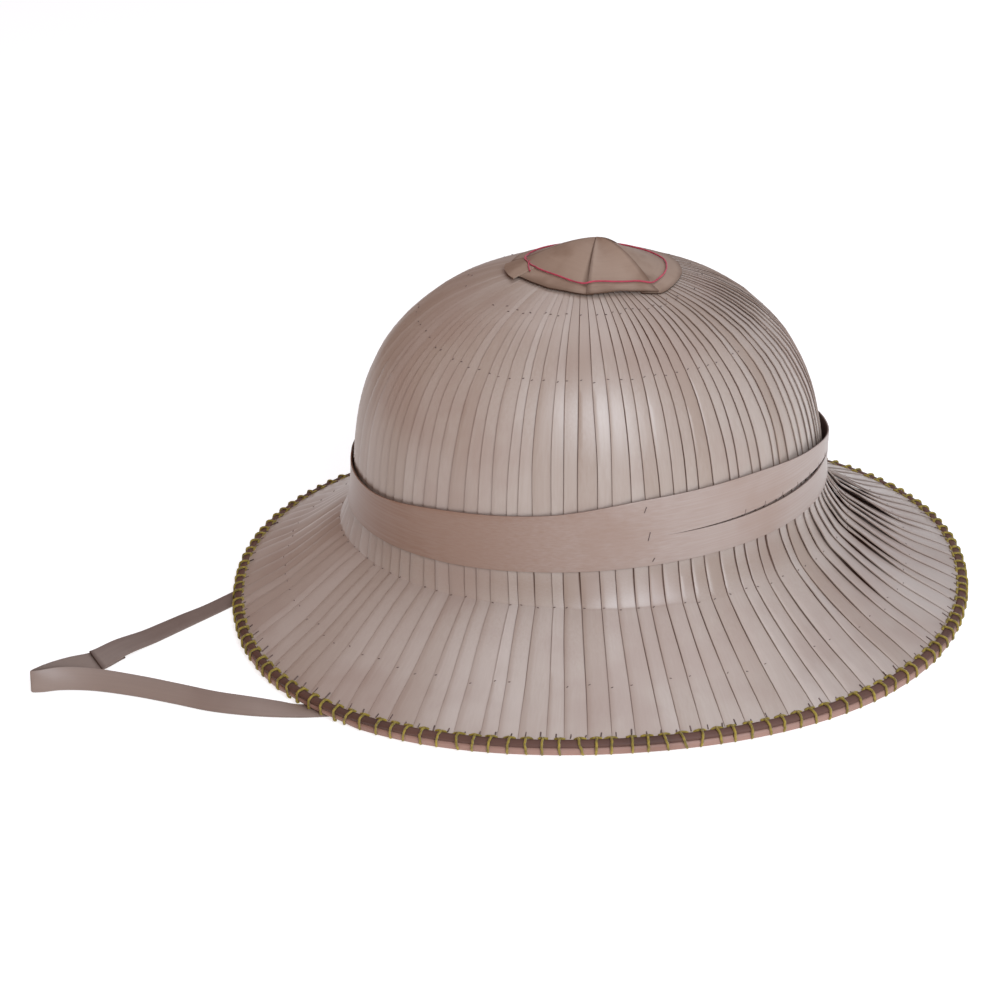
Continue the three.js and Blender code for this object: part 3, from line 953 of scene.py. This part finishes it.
@dataclass
class TopCap:
    """Pleated leaf cap over the gathered strip ends, sewn round with a coloured thread."""

    form: HatForm
    middle: tuple[float, float] = (1.75, 5.1)
    peak: tuple[float, float, float] = (2.65, 5.1, 157.0)
    leaf: float = 0.55
    bulge: float = 1.1
    # Plan of the skirt and of the sewn line: angle and distance from the middle
    skirt: tuple[tuple[float, float], ...] = (
        (-180.0, 35.2), (-168.0, 34.6), (-147.0, 32.3), (-113.0, 30.0), (-93.0, 30.3), (-77.0, 29.4),
        (-54.0, 32.7), (-40.0, 36.1), (-15.0, 35.9), (8.0, 36.1), (27.0, 35.6), (60.0, 31.0),
        (90.0, 29.0), (120.0, 31.0), (150.0, 35.0),
    )
    sewn: tuple[tuple[float, float], ...] = (
        (-174.0, 27.6), (-150.0, 25.0), (-128.0, 23.9), (-100.0, 25.4), (-90.0, 24.4), (-55.0, 28.0),
        (-44.0, 31.4), (-32.0, 31.1), (-8.0, 30.0), (5.0, 29.3), (22.0, 26.6), (44.0, 23.6),
        (90.0, 21.8), (126.0, 25.3), (145.0, 28.2), (168.0, 29.6),
    )
    # Leaf facets, the lowest first
    facets: tuple[Facet, ...] = (
        Facet(58.0, 186.0, 0.3, 0.2, 0.0, 0.6),
        Facet(-55.0, 68.0, 0.0, 0.4, 0.0, 0.75, sag=1.3, shade=1.0, shade_at=-41.0, shade_wide=8.0),
        Facet(
            -192.0, -92.0, 0.3, 0.0, 0.5, 0.8, shade=0.8, shade_at=-99.0, shade_wide=3.0, shade_fade=(0.98, 1.15)
        ),
        Facet(-98.0, -44.0, 0.9, 3.4, 1.05, 0.62),
    )
    seed: int = 21
    thread_seed: int = 5
    thread_radius: float = 0.38

    def surface(self, angle: Number, run: Number, raised: Number = 0.0) -> Array:
        """Point of the cap.

        Args:
            angle: degrees round the cap's middle.
            run: 0 at the peak, 1 at the sewn line and 1.35 at the skirt's edge.
            raised: how far it is lifted, in millimetres.

        Returns:
            Points with x, y and z in the last axis.
        """
        wrapped = turn_between(angle, 0.0)
        turn = np.radians(angle)
        ring = round_curve(*zip(*self.sewn)).at(wrapped)
        edge = round_curve(*zip(*self.skirt)).at(wrapped)
        ring_x, ring_y = self.middle[0] + ring * np.cos(turn), self.middle[1] + ring * np.sin(turn)
        edge_x, edge_y = self.middle[0] + edge * np.cos(turn), self.middle[1] + edge * np.sin(turn)
        ring_z = self.form.crown_height(ring_x, ring_y) + 1.55
        edge_z = self.form.crown_height(edge_x, edge_y) + 1.35
        inner = np.clip(run, 0.0, 1.0)
        outer = np.clip((np.asarray(run) - 1.0) / 0.35, 0.0, 1.5)
        x = self.peak[0] + (ring_x - self.peak[0]) * inner + (edge_x - ring_x) * outer
        y = self.peak[1] + (ring_y - self.peak[1]) * inner + (edge_y - ring_y) * outer
        z = self.peak[2] - 1.0 + (ring_z - self.peak[2] + 1.0) * inner + (edge_z - ring_z) * outer
        z = z + self.bulge * np.sin(np.pi * inner**0.8)
        return np.stack(np.broadcast_arrays(x, y, z + raised), axis=-1)

    def build(self, finish: bpy.types.Material) -> bpy.types.Object:
        """Builds the facets as lapped leaf sheets in one piece."""
        rng = np.random.default_rng(self.seed)
        sheet = LeafMesh()
        runs = np.array([0.003, 0.1, 0.2, 0.32, 0.45, 0.58, 0.7, 0.82, 0.92, 1.0, 1.1, 1.22, 1.34])
        for facet in self.facets:
            columns = max(12, int(abs(facet.end - facet.start) / 4))
            share = np.linspace(0.0, 1.0, columns)
            angle = facet.start + (facet.end - facet.start) * share
            body = np.clip(runs, 0, 1)
            arch = np.sin(np.pi * body)
            lift = facet.first_lift * (1 - share) ** 6 + facet.last_lift * share**2.5
            raised = (facet.lift * (0.35 + 0.65 * body) - facet.sag * arch)[:, None] + np.outer(arch**0.8, lift)
            ragged = 0.012 * np.cumsum(rng.normal(0, 1, columns)) * np.sin(np.pi * share)
            run = runs[:, None] + np.where(runs[:, None] > 1.2, ragged[None, :], 0.0)
            top = self.surface(angle[None, :], run, raised)
            rings = sheet_rings(top, self.leaf)
            across = np.concatenate([np.broadcast_to(angle, top.shape[:2])] * 2, axis=1) * 0.5
            along = np.concatenate([np.broadcast_to(runs[:, None], top.shape[:2])] * 2, axis=1) * 28.0
            # Edges darker, partly dark cut leaf and partly painted shade; painted shade on the undersides and along the
            # folds beside two facets
            dark = np.zeros(rings.shape[:2])
            dark[-1, :] = 0.35
            dark[:, [0, columns - 1]] = 0.5
            dark[:, columns:] = 0.7
            fold = facet.shade * hump(angle - facet.shade_at, facet.shade_wide)
            dark[:, :columns] += np.outer(1 - smooth_step(runs, *facet.shade_fade), fold)
            dark = np.clip(dark, 0.0, 1.0)
            sheet.add_tube(rings, np.stack([along, across], axis=-1), facet.tone, dark)
        # Folded tab at the left, of paler leaf
        angle, run = np.linspace(-186.0, -160.0, 8), np.linspace(1.02, 1.46, 6)
        skew = angle[None, :] + 5.0 * (run[:, None] - 1.2)
        rings = sheet_rings(self.surface(skew, run[:, None], 1.1), self.leaf)
        uv = np.stack([rings[..., 1], rings[..., 0]], axis=-1)
        sheet.add_tube(rings, uv, 1.0, np.zeros(rings.shape[:2]))
        return sheet.build("cap_leaf", finish)

    def height_over(self, angle: float) -> float:
        """How far the uppermost facet is lifted at the sewn line."""
        best = 0.0
        for facet in self.facets:
            middle = (facet.start + facet.end) / 2
            if abs(turn_between(angle, middle)) <= (facet.end - facet.start) / 2:
                best = max(best, facet.lift)
        return best

    def thread(self, threads: Threads, finish: bpy.types.Material) -> bpy.types.Object:
        """Sews the coloured line round the cap, crossed where it starts and ends."""
        rng = np.random.default_rng(self.thread_seed)
        angles = np.linspace(-196.0, 176.0, 125)
        raised = np.array([self.height_over(a) for a in angles])
        raised = np.convolve(np.pad(raised, 1, mode="edge"), [0.25, 0.5, 0.25], mode="valid")
        run = 1.0 + 0.008 * np.cumsum(rng.normal(0, 1, len(angles))) / np.sqrt(np.arange(1, len(angles) + 1))
        line = self.surface(angles, run, raised + 0.75)
        tail_angles = np.linspace(-176.0, -158.0, 8)
        tail = self.surface(tail_angles, np.linspace(0.97, 1.14, 8), 1.3)
        return threads.lay("cap_thread", [line, tail], self.thread_radius, finish)


@dataclass
class HatBand:
    """Leaf band round the foot of the crown, split along its grain on the right."""

    form: HatForm
    inside: float = 1.02
    wall: float = 0.8
    columns: int = 300
    # Angle, lower edge, upper edge and how far the upper edge stands off
    table: tuple[tuple[float, float, float, float], ...] = (
        (-180.0, 43.2, 62.0, 0.2), (-155.0, 43.5, 62.0, 0.9), (-125.0, 44.5, 66.4, 0.1), (-100.0, 46.0, 69.4, 0.0),
        (-75.0, 47.3, 74.7, 0.0), (-50.0, 48.2, 76.0, 0.3), (-25.0, 49.0, 73.6, 1.8), (5.0, 50.0, 67.4, 2.4),
        (60.0, 47.5, 64.5, 0.4), (120.0, 45.0, 64.0, 0.0),
    )
    # Split: angle, height of its middle and width
    split: tuple[tuple[float, float, float], ...] = (
        (-73.0, 59.0, 0.0), (-60.0, 59.6, 0.6), (-45.0, 60.6, 1.2), (-28.0, 62.0, 2.2),
        (-12.0, 62.6, 1.2), (0.0, 63.0, 0.0),
    )

    def edges(self, angle: Number) -> tuple[Number, Number, Number]:
        """Lower edge, upper edge and flare at an angle."""
        wrapped = turn_between(angle, 0.0)
        names = list(zip(*self.table))
        low, high, flare = (round_curve(names[0], names[i]).at(wrapped) for i in (1, 2, 3))
        return low, high, flare

    def point(self, angle: Number, z: Number, out: Number) -> Array:
        """Point of the band, which leans out towards its upper edge."""
        low, high, flare = self.edges(angle)
        share = np.clip((z - low) / (high - low), 0.0, 1.0)
        return self.form.crown(angle, z, self.inside + out + flare * share**1.5)

    def build(self, finish: bpy.types.Material) -> bpy.types.Object:
        """Builds the band as one closed sheet whose split is open right through."""
        angle = np.linspace(-180.0, 180.0, self.columns, endpoint=False)
        low, high, _ = self.edges(angle)
        names = list(zip(*self.split))
        middle = EasedCurve(names[0], names[1]).at(angle)
        width = EasedCurve(names[0], names[2]).at(angle)
        gap = np.where((angle > names[0][0]) & (angle < names[0][-1]), width, 0.0)
        levels = [
            [low + (middle - gap / 2 - low) * s for s in (0.0, 0.04, 0.35, 0.7, 1.0)],
            [middle + gap / 2 + (high - middle - gap / 2) * s for s in (0.0, 0.3, 0.65, 0.96, 1.0)],
        ]
        round_edge = ([0.25, 0.0, 0.0, 0.0, 0.0], [0.0, 0.0, 0.0, 0.0, 0.25])
        arc = np.radians(angle) * 92.0
        vertices, uvs, dark, faces = [], [], [], []
        size = 20
        for part in range(2):
            for side in (self.wall, 0.0):
                for level, edge in zip(levels[part], round_edge[part]):
                    inward = edge if side else -edge
                    vertices.append(self.point(angle, level, side - inward * 0.6))
                    uvs.append(np.stack([level - low, arc], axis=-1))
                    # Painted shade on the band's inner face
                    dark.append(np.full(self.columns, 0.0 if side else 0.75))
        grid = np.stack(vertices, axis=1)
        for i in range(self.columns):
            j = (i + 1) % self.columns
            near, far = i * size, j * size
            open_here = gap[i] > 0 or gap[j] > 0
            for part in range(2):
                o = part * 10
                for k in range(4):
                    faces.append((near + o + k, far + o + k, far + o + k + 1, near + o + k + 1))
                    faces.append((near + o + 5 + k, near + o + 6 + k, far + o + 6 + k, far + o + 5 + k))
                end = 0 if part == 0 else 4
                faces.append((near + o + end, near + o + 5 + end, far + o + 5 + end, far + o + end))
                if open_here:
                    seam = 4 if part == 0 else 0
                    faces.append((near + o + seam, near + o + 5 + seam, far + o + 5 + seam, far + o + seam))
        uv = np.stack(uvs, axis=1).reshape(-1, 2)
        return self._mesh(grid.reshape(-1, 3), uv, np.stack(dark, axis=1).reshape(-1), faces, finish)

    def _mesh(
        self, points: Array, uv: Array, dark: Array, faces: list[tuple[int, ...]], finish: bpy.types.Material
    ) -> bpy.types.Object:
        """Joins the two halves of the band where it isn't split."""
        turn = np.degrees(np.arctan2(points[:, 1] - self.form.crown_y, points[:, 0] - self.form.crown_x))
        # Painted shade: the band is darker on the left and round the back, paler at the front and right where the light
        # falls
        tone = 0.1 + 0.6 * smooth_step(turn, -150.0, -55.0) * (1 - 0.7 * smooth_step(turn, 30.0, 120.0))
        sheet = LeafMesh(vertices=[points], faces=faces, uvs=[uv], tones=[tone], shades_and_edges=[dark])
        piece = sheet.build("band_leaf", finish, sharp=40.0)
        work = bmesh.new()
        work.from_mesh(piece.data)
        bmesh.ops.remove_doubles(work, verts=work.verts, dist=1e-6)
        bmesh.ops.recalc_face_normals(work, faces=work.faces)
        work.to_mesh(piece.data)
        work.free()
        return piece

    def stitches(self, threads: Threads, finish: bpy.types.Material) -> bpy.types.Object:
        """Sews the band: ticks across the split, and three stitches that fix its end."""
        lines = []
        for angle in np.linspace(-52.0, -14.0, 7):
            names = list(zip(*self.split))
            z = float(EasedCurve(names[0], names[1]).at(angle))
            heights = np.linspace(z - 0.4, z + 2.2, 5)
            lines.append(self.point(angle + np.linspace(0.0, 0.5, 5), heights, self.wall - 0.1))
        for angle, z, tall in ((-77.6, 70.6, 2.4), (-77.0, 59.4, 3.6), (-76.2, 49.6, 1.4)):
            heights = np.linspace(z - tall / 2, z + tall / 2, 6)
            lines.append(self.point(angle + np.linspace(0.0, 0.6, 6), heights, self.wall + 0.08))
        return threads.lay("band_stitches", lines, 0.2, finish, sides=5)


@dataclass
class Rim:
    """Split-bamboo hoop, dark binding over the strip ends, and the lashing that holds them."""

    form: HatForm
    columns: int = 360
    lashings: int = 140
    # Sections: inset from the outer edge and height
    hoop: tuple[tuple[float, float], ...] = (
        (2.7, 0.0), (0.75, 0.0), (0.2, 0.4), (0.0, 1.2), (0.05, 2.3), (0.35, 3.0), (0.9, 3.3), (2.0, 3.35),
        (2.8, 3.1), (3.1, 2.2), (3.0, 0.8),
    )
    binding: tuple[tuple[float, float], ...] = (
        (3.3, 4.2), (2.2, 3.4), (0.9, 3.37), (0.4, 3.5), (0.2, 4.0), (0.4, 4.7), (1.1, 5.2), (2.3, 5.5),
        (3.2, 5.5), (3.5, 5.0),
    )
    notches: tuple[float, float] = (-134.6, -175.2)
    notch_depth: float = 1.3
    notch_top: float = 2.1
    # Lashing: inset and height along one turn of the thread
    turn: tuple[tuple[float, float], ...] = (
        (0.7, 0.6), (0.0, 0.75), (-0.38, 1.4), (-0.38, 2.5), (-0.3, 3.6), (-0.22, 4.4), (0.05, 5.1),
        (0.9, 5.7), (2.2, 6.0), (3.3, 5.95), (4.0, 5.4), (4.3, 4.6),
    )
    thread: float = 0.56
    draw_in: float = 0.8
    seed: int = 11
    nick_seed: int = 13

    def _notch(self, angle: Array, z: Array) -> Array:
        """How far the hoop's underside is hollowed over the strap."""
        away = np.min([np.abs(turn_between(angle, n)) for n in self.notches], axis=0)
        return self.notch_depth * (1 - smooth_step(away, 5.0, 9.0)) * np.clip(1 - z / self.notch_top, 0, 1)

    def _ring(
        self, name: str, section: Sequence[tuple[float, float]], finish: bpy.types.Material, tone: float
    ) -> bpy.types.Object:
        """Sweeps a section round the rim."""
        angle = np.linspace(-180.0, 180.0, self.columns, endpoint=False)[:, None]
        inset, z = (np.array(values)[None, :] for values in zip(*section))
        rings = self.form.rim(angle, inset + self.draw_in, z + self._notch(angle, z))
        around = np.broadcast_to(np.arange(len(section)) * 1.0, rings.shape[:2])
        arc = np.broadcast_to(np.radians(angle) * 152.0, rings.shape[:2])
        sheet = LeafMesh()
        sheet.add_tube(rings, np.stack([around, arc], axis=-1), tone, np.zeros(rings.shape[:2]), closed=True)
        return sheet.build(name, finish, sharp=60.0)

    def build_hoop(self, finish: bpy.types.Material) -> bpy.types.Object:
        """Builds the bamboo hoop."""
        return self._ring("bamboo_hoop", self.hoop, finish, 0.5)

    def build_binding(self, finish: bpy.types.Material) -> bpy.types.Object:
        """Builds the dark strip over the leaf ends."""
        return self._ring("leaf_binding", self.binding, finish, 0.5)

    def lashing(self, threads: Threads, finish: bpy.types.Material) -> bpy.types.Object:
        """Winds the thread over the hoop and the binding, with its running line along the inside."""
        rng = np.random.default_rng(self.seed)
        angles = self.form.even_rim_angles(self.lashings)
        pitch = 360.0 / self.lashings
        inset, z = (np.array(values) for values in zip(*self.turn))
        lines = []
        for angle in angles:
            spot = angle + rng.uniform(-0.12, 0.12) * pitch
            slant = rng.normal(0.0, 0.09) * pitch
            turn = spot + slant * np.linspace(-1.0, 1.0, len(z)) + 0.012 * pitch * rng.normal(0, 1, len(z))
            lines.append(self.form.rim(turn, inset + self.draw_in + 0.05 * rng.normal(0, 1), z))
            reach = np.linspace(-0.36, 0.34, 7) * rng.uniform(0.7, 1.1)
            dip = 0.75 * np.abs(reach / 0.36) ** 2.5
            inside = 3.9 + self.draw_in + 0.1 * rng.normal(0, 1, 7)
            lines.append(self.form.rim(spot + reach * pitch, inside, 5.7 - dip))
        return threads.lay("rim_lashing", lines, self.thread, finish, sides=5)

    def nicks(self, threads: Threads, finish: bpy.types.Material) -> bpy.types.Object:
        """Splits that the lashing thread tore in the leaf ends, one beside each turn."""
        rng = np.random.default_rng(self.nick_seed)
        lines = []
        for angle in self.form.even_rim_angles(self.lashings):
            spot = angle + rng.uniform(0.55, 0.95)
            long = rng.uniform(0.8, 2.8)
            z = np.linspace(5.1, 5.1 + long * 0.5, 4)
            lines.append(self.form.wall(spot + np.linspace(0.0, rng.uniform(-0.1, 0.2), 4), z, 0.32))
        return threads.lay("rim_nicks", lines, 0.33, finish, sides=4)


@dataclass
class ChinStrap:
    """Leaf ribbon in two lengths, sewn end to end, from one side of the crown round to the other."""

    width: float = 9.5
    leaf: float = 0.8
    floor_gap: float = 0.15
    length_m: float = 0.541
    steps: int = 6
    seam: int = 19
    tail: int = 20
    settled: int = 21
    clearance: float = 0.3
    # Route: place, height of the lower edge, and lean from standing on edge (0) to flat (90)
    route: tuple[tuple[float, float, float, float], ...] = (
        (-6.7, -79.1, 33.0, 0.0), (-22.6, -81.5, 24.0, 12.0), (-45.6, -89.9, 10.0, 35.0),
        (-70.7, -97.9, 2.5, 60.0), (-90.7, -103.5, 0.2, 84.0), (-104.7, -105.9, 0.0, 90.0),
        (-114.7, -106.7, 0.0, 90.0), (-122.7, -106.6, 0.0, 89.0), (-130.7, -106.0, 0.0, 80.0),
        (-143.5, -104.1, 0.0, 69.0), (-157.1, -100.5, 0.0, 65.0), (-171.5, -94.4, 0.0, 64.0),
        (-190.3, -87.2, 0.0, 60.0), (-209.1, -82.6, 0.0, 48.0), (-221.7, -83.1, 0.0, 26.0),
        (-229.2, -85.2, 0.0, 12.0), (-232.7, -85.3, 0.0, 4.0), (-228.7, -81.5, 0.0, -6.0),
        (-219.7, -75.4, 0.0, -28.0), (-209.8, -67.6, 0.0, -56.0), (-201.8, -57.3, 0.0, -68.0),
        (-188.7, -42.6, 0.0, -79.0), (-176.0, -29.3, 0.0, -84.0), (-167.2, -20.1, 0.0, -89.0),
        (-159.7, -11.9, 0.0, -90.0), (-150.7, -2.1, 0.0, -90.0), (-142.7, 6.7, 0.0, -87.0),
        (-131.7, 19.1, 0.5, -76.0), (-112.7, 41.1, 4.0, -60.0), (-86.7, 63.1, 11.0, -42.0),
        (-58.6, 77.7, 20.0, -24.0), (-30.6, 85.9, 28.5, -10.0), (-6.7, 89.3, 33.0, 0.0),
    )

    def centreline(self) -> Array:
        """Middle of the ribbon along the whole strap."""
        rows = np.array(self.route)
        lean = np.radians(np.abs(rows[:, 3]))
        half = (self.width * np.cos(lean) + self.leaf * np.sin(lean)) / 2
        points = np.column_stack([rows[:, 0], rows[:, 1], rows[:, 2] + half + self.floor_gap])
        return spline(points, self.steps)

    def _ribbon(
        self, first: int, last: int, raise_at: Callable[[Array], Array], sheet: LeafMesh, tone: float
    ) -> None:
        """Adds one length of ribbon between two rows of the route."""
        line = self.centreline()
        rows = np.arange(len(line)) / self.steps
        lean = np.radians(EasedCurve(tuple(range(len(self.route))), tuple(r[3] for r in self.route)).at(rows))
        along = np.gradient(line, axis=0)
        along /= np.linalg.norm(along, axis=1, keepdims=True)
        up = np.array([0.0, 0.0, 1.0])
        right = np.cross(along, up)
        right /= np.linalg.norm(right, axis=1, keepdims=True)
        wide = up * np.cos(lean)[:, None] + right * np.sin(lean)[:, None]
        thick = np.cross(along, wide)
        thick /= np.linalg.norm(thick, axis=1, keepdims=True)
        middle = line + thick * (raise_at(rows) * np.sign(thick[:, 2]))[:, None]
        span = np.array([-0.5, -0.47, -0.2, 0.2, 0.47, 0.5, 0.5, 0.47, 0.0, -0.47, -0.5]) * self.width
        deep = np.array([0.3, 0.5, 0.5, 0.5, 0.5, 0.3, -0.3, -0.5, -0.5, -0.5, -0.3]) * self.leaf
        kept = slice(first * self.steps, last * self.steps + 1)
        rings = middle[kept, None] + wide[kept, None] * span[None, :, None] + thick[kept, None] * deep[None, :, None]
        run = np.concatenate([[0.0], np.cumsum(np.linalg.norm(np.diff(line, axis=0), axis=1))])[kept]
        uv = np.stack(np.broadcast_arrays(span[None, :], run[:, None]), axis=-1)
        # Painted shade on the ribbon's inner face and edges; the ends of each length darker, partly cut leaf and partly
        # painted shadow where one length laps the other
        shade = np.array([0.35, 0.3, 0.3, 0.3, 0.3, 0.35, 0.25, 0, 0, 0, 0.25])
        dark = np.broadcast_to(shade, rings.shape[:2]).copy()
        dark[[0, -1]] = 0.7
        sheet.add_tube(rings, uv, tone, dark)

    def build(self, finish: bpy.types.Material) -> bpy.types.Object:
        """Builds both lengths as one piece."""
        sheet = LeafMesh()
        lap = self.leaf + 2 * self.clearance
        self._ribbon(0, self.tail, lambda rows: 0.0 * rows, sheet, 0.6)

        def lapping(rows: Array) -> Array:
            """Height of the upper length, which comes down past the end of the lower one."""
            return lap * (1 - smooth_step(rows, self.tail, self.settled))

        self._ribbon(self.seam, len(self.route) - 1, lapping, sheet, 0.45)
        return sheet.build("chin_strap", finish)


@dataclass
class Studio:
    """Pale floor, soft light from the front right, and the camera at the photograph's angle."""

    camera_mm: tuple[float, float, float] = (-8.713, -961.521, 513.889)
    camera_turn: tuple[float, float, float] = (63.7931, 2.1974, 0.9369)
    lens: float = 90.314
    floor_side: float = 12.0

    def build(self) -> None:
        """Sets the floor, the lights, the sky and the camera."""
        scene = bpy.context.scene
        scene.view_settings.view_transform = "Standard"
        self._floor()
        self._light("key_window", (0.58, -1.42, 0.97), 1.0, 21.0, (0.86, 0.92, 1.0))
        self._light("top_window", (0.35, 0.25, 1.7), 1.2, 9.0, (0.96, 0.97, 1.0))
        self._sky(scene)
        data = bpy.data.cameras.new("camera")
        data.lens = self.lens
        data.sensor_width = 36.0
        data.sensor_fit = "HORIZONTAL"
        data.clip_end = 50.0
        camera = link_object("camera", data)
        camera.location = [v * MM for v in self.camera_mm]
        camera.rotation_euler = [math.radians(v) for v in self.camera_turn]
        scene.camera = camera

    def _floor(self) -> None:
        """Lays a pale floor that keeps shadows faint."""
        half = self.floor_side / 2
        mesh = bpy.data.meshes.new("floor")
        mesh.from_pydata([(-half, -half, 0), (half, -half, 0), (half, half, 0), (-half, half, 0)], [], [(0, 1, 2, 3)])
        material = bpy.data.materials.new("pale_floor")
        material.use_nodes = True
        shader = material.node_tree.nodes["Principled BSDF"]
        shader.inputs["Base Color"].default_value = (0.62, 0.62, 0.62, 1.0)
        shader.inputs["Roughness"].default_value = 0.9
        shader.inputs["Specular IOR Level"].default_value = 0.0
        shader.inputs["Emission Color"].default_value = (1.0, 1.0, 1.0, 1.0)
        shader.inputs["Emission Strength"].default_value = 0.66
        mesh.materials.append(material)
        link_object("floor", mesh)

    def _light(
        self,
        name: str,
        place: tuple[float, float, float],
        side: float,
        power: float,
        colour: tuple[float, float, float],
    ) -> None:
        """Hangs one soft square light that faces the hat."""
        data = bpy.data.lights.new(name, "AREA")
        data.size = side
        data.energy = power
        data.color = colour
        lamp = link_object(name, data)
        lamp.location = place
        aim = np.array([0.0, 0.0, 0.08]) - np.array(place)
        flat = math.hypot(aim[0], aim[1])
        lamp.rotation_euler = (math.atan2(flat, -aim[2]), 0.0, math.atan2(aim[1], aim[0]) - math.pi / 2)

    def _sky(self, scene: bpy.types.Scene) -> None:
        """Surrounds the hat with dim light, brown on the left and white on the right."""
        world = bpy.data.worlds.new("studio_sky")
        world.use_nodes = True
        tree = world.node_tree
        tree.nodes.clear()
        place = add_node(tree, "ShaderNodeTexCoord")
        parts = add_node(tree, "ShaderNodeSeparateXYZ", {0: place.outputs["Generated"]})
        share = add_node(
            tree,
            "ShaderNodeMapRange",
            {"Value": parts.outputs["X"], "From Min": -0.9, "From Max": 0.7},
            interpolation_type="SMOOTHSTEP",
        )
        colour = add_node(
            tree,
            "ShaderNodeMix",
            {"Factor": share.outputs[0], 6: (0.37, 0.175, 0.095, 1.0), 7: (0.49, 0.56, 0.67, 1.0)},
            data_type="RGBA",
        )
        sky = add_node(tree, "ShaderNodeBackground", {"Color": colour.outputs[2], "Strength": 0.75})
        add_node(tree, "ShaderNodeOutputWorld", {"Surface": sky.outputs[0]})
        scene.world = world


def main() -> None:
    """Loads the solids, dresses the hat piece by piece and sets the studio."""
    logging.basicConfig(level=logging.INFO, format="%(name)s %(message)s")
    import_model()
    form = HatForm()
    threads = Threads()

    strips = LeafStrips(form)
    finish_piece(strips.build(PALM.build()), Slot.PALM, "leaf_shell")
    sewing = SEWING_THREAD.build()
    finish_piece(strips.stitches(threads, sewing), Slot.SEWING)

    cap = TopCap(form)
    finish_piece(cap.build(CAP_LEAF.build()), Slot.CAP, "top_cap")
    finish_piece(cap.thread(threads, RED_THREAD.build()), Slot.RED)

    band = HatBand(form)
    finish_piece(band.build(BAND_LEAF.build()), Slot.BAND, "hat_band")
    finish_piece(band.stitches(threads, sewing), Slot.SEWING)

    rim = Rim(form)
    finish_piece(rim.build_hoop(BAMBOO.build()), Slot.BAMBOO, "rim_hoop")
    finish_piece(rim.build_binding(BINDING.build()), Slot.BINDING, "rim_binding")
    finish_piece(rim.lashing(threads, GOLD_THREAD.build()), Slot.GOLD)
    finish_piece(rim.nicks(threads, sewing), Slot.SEWING)

    strap = ChinStrap()
    ribbon = finish_piece(strap.build(STRAP_LEAF.build()), Slot.STRAP, "chin_strap_front", "chin_strap_back")

    Studio().build()


if __name__ == "__main__":
    main()
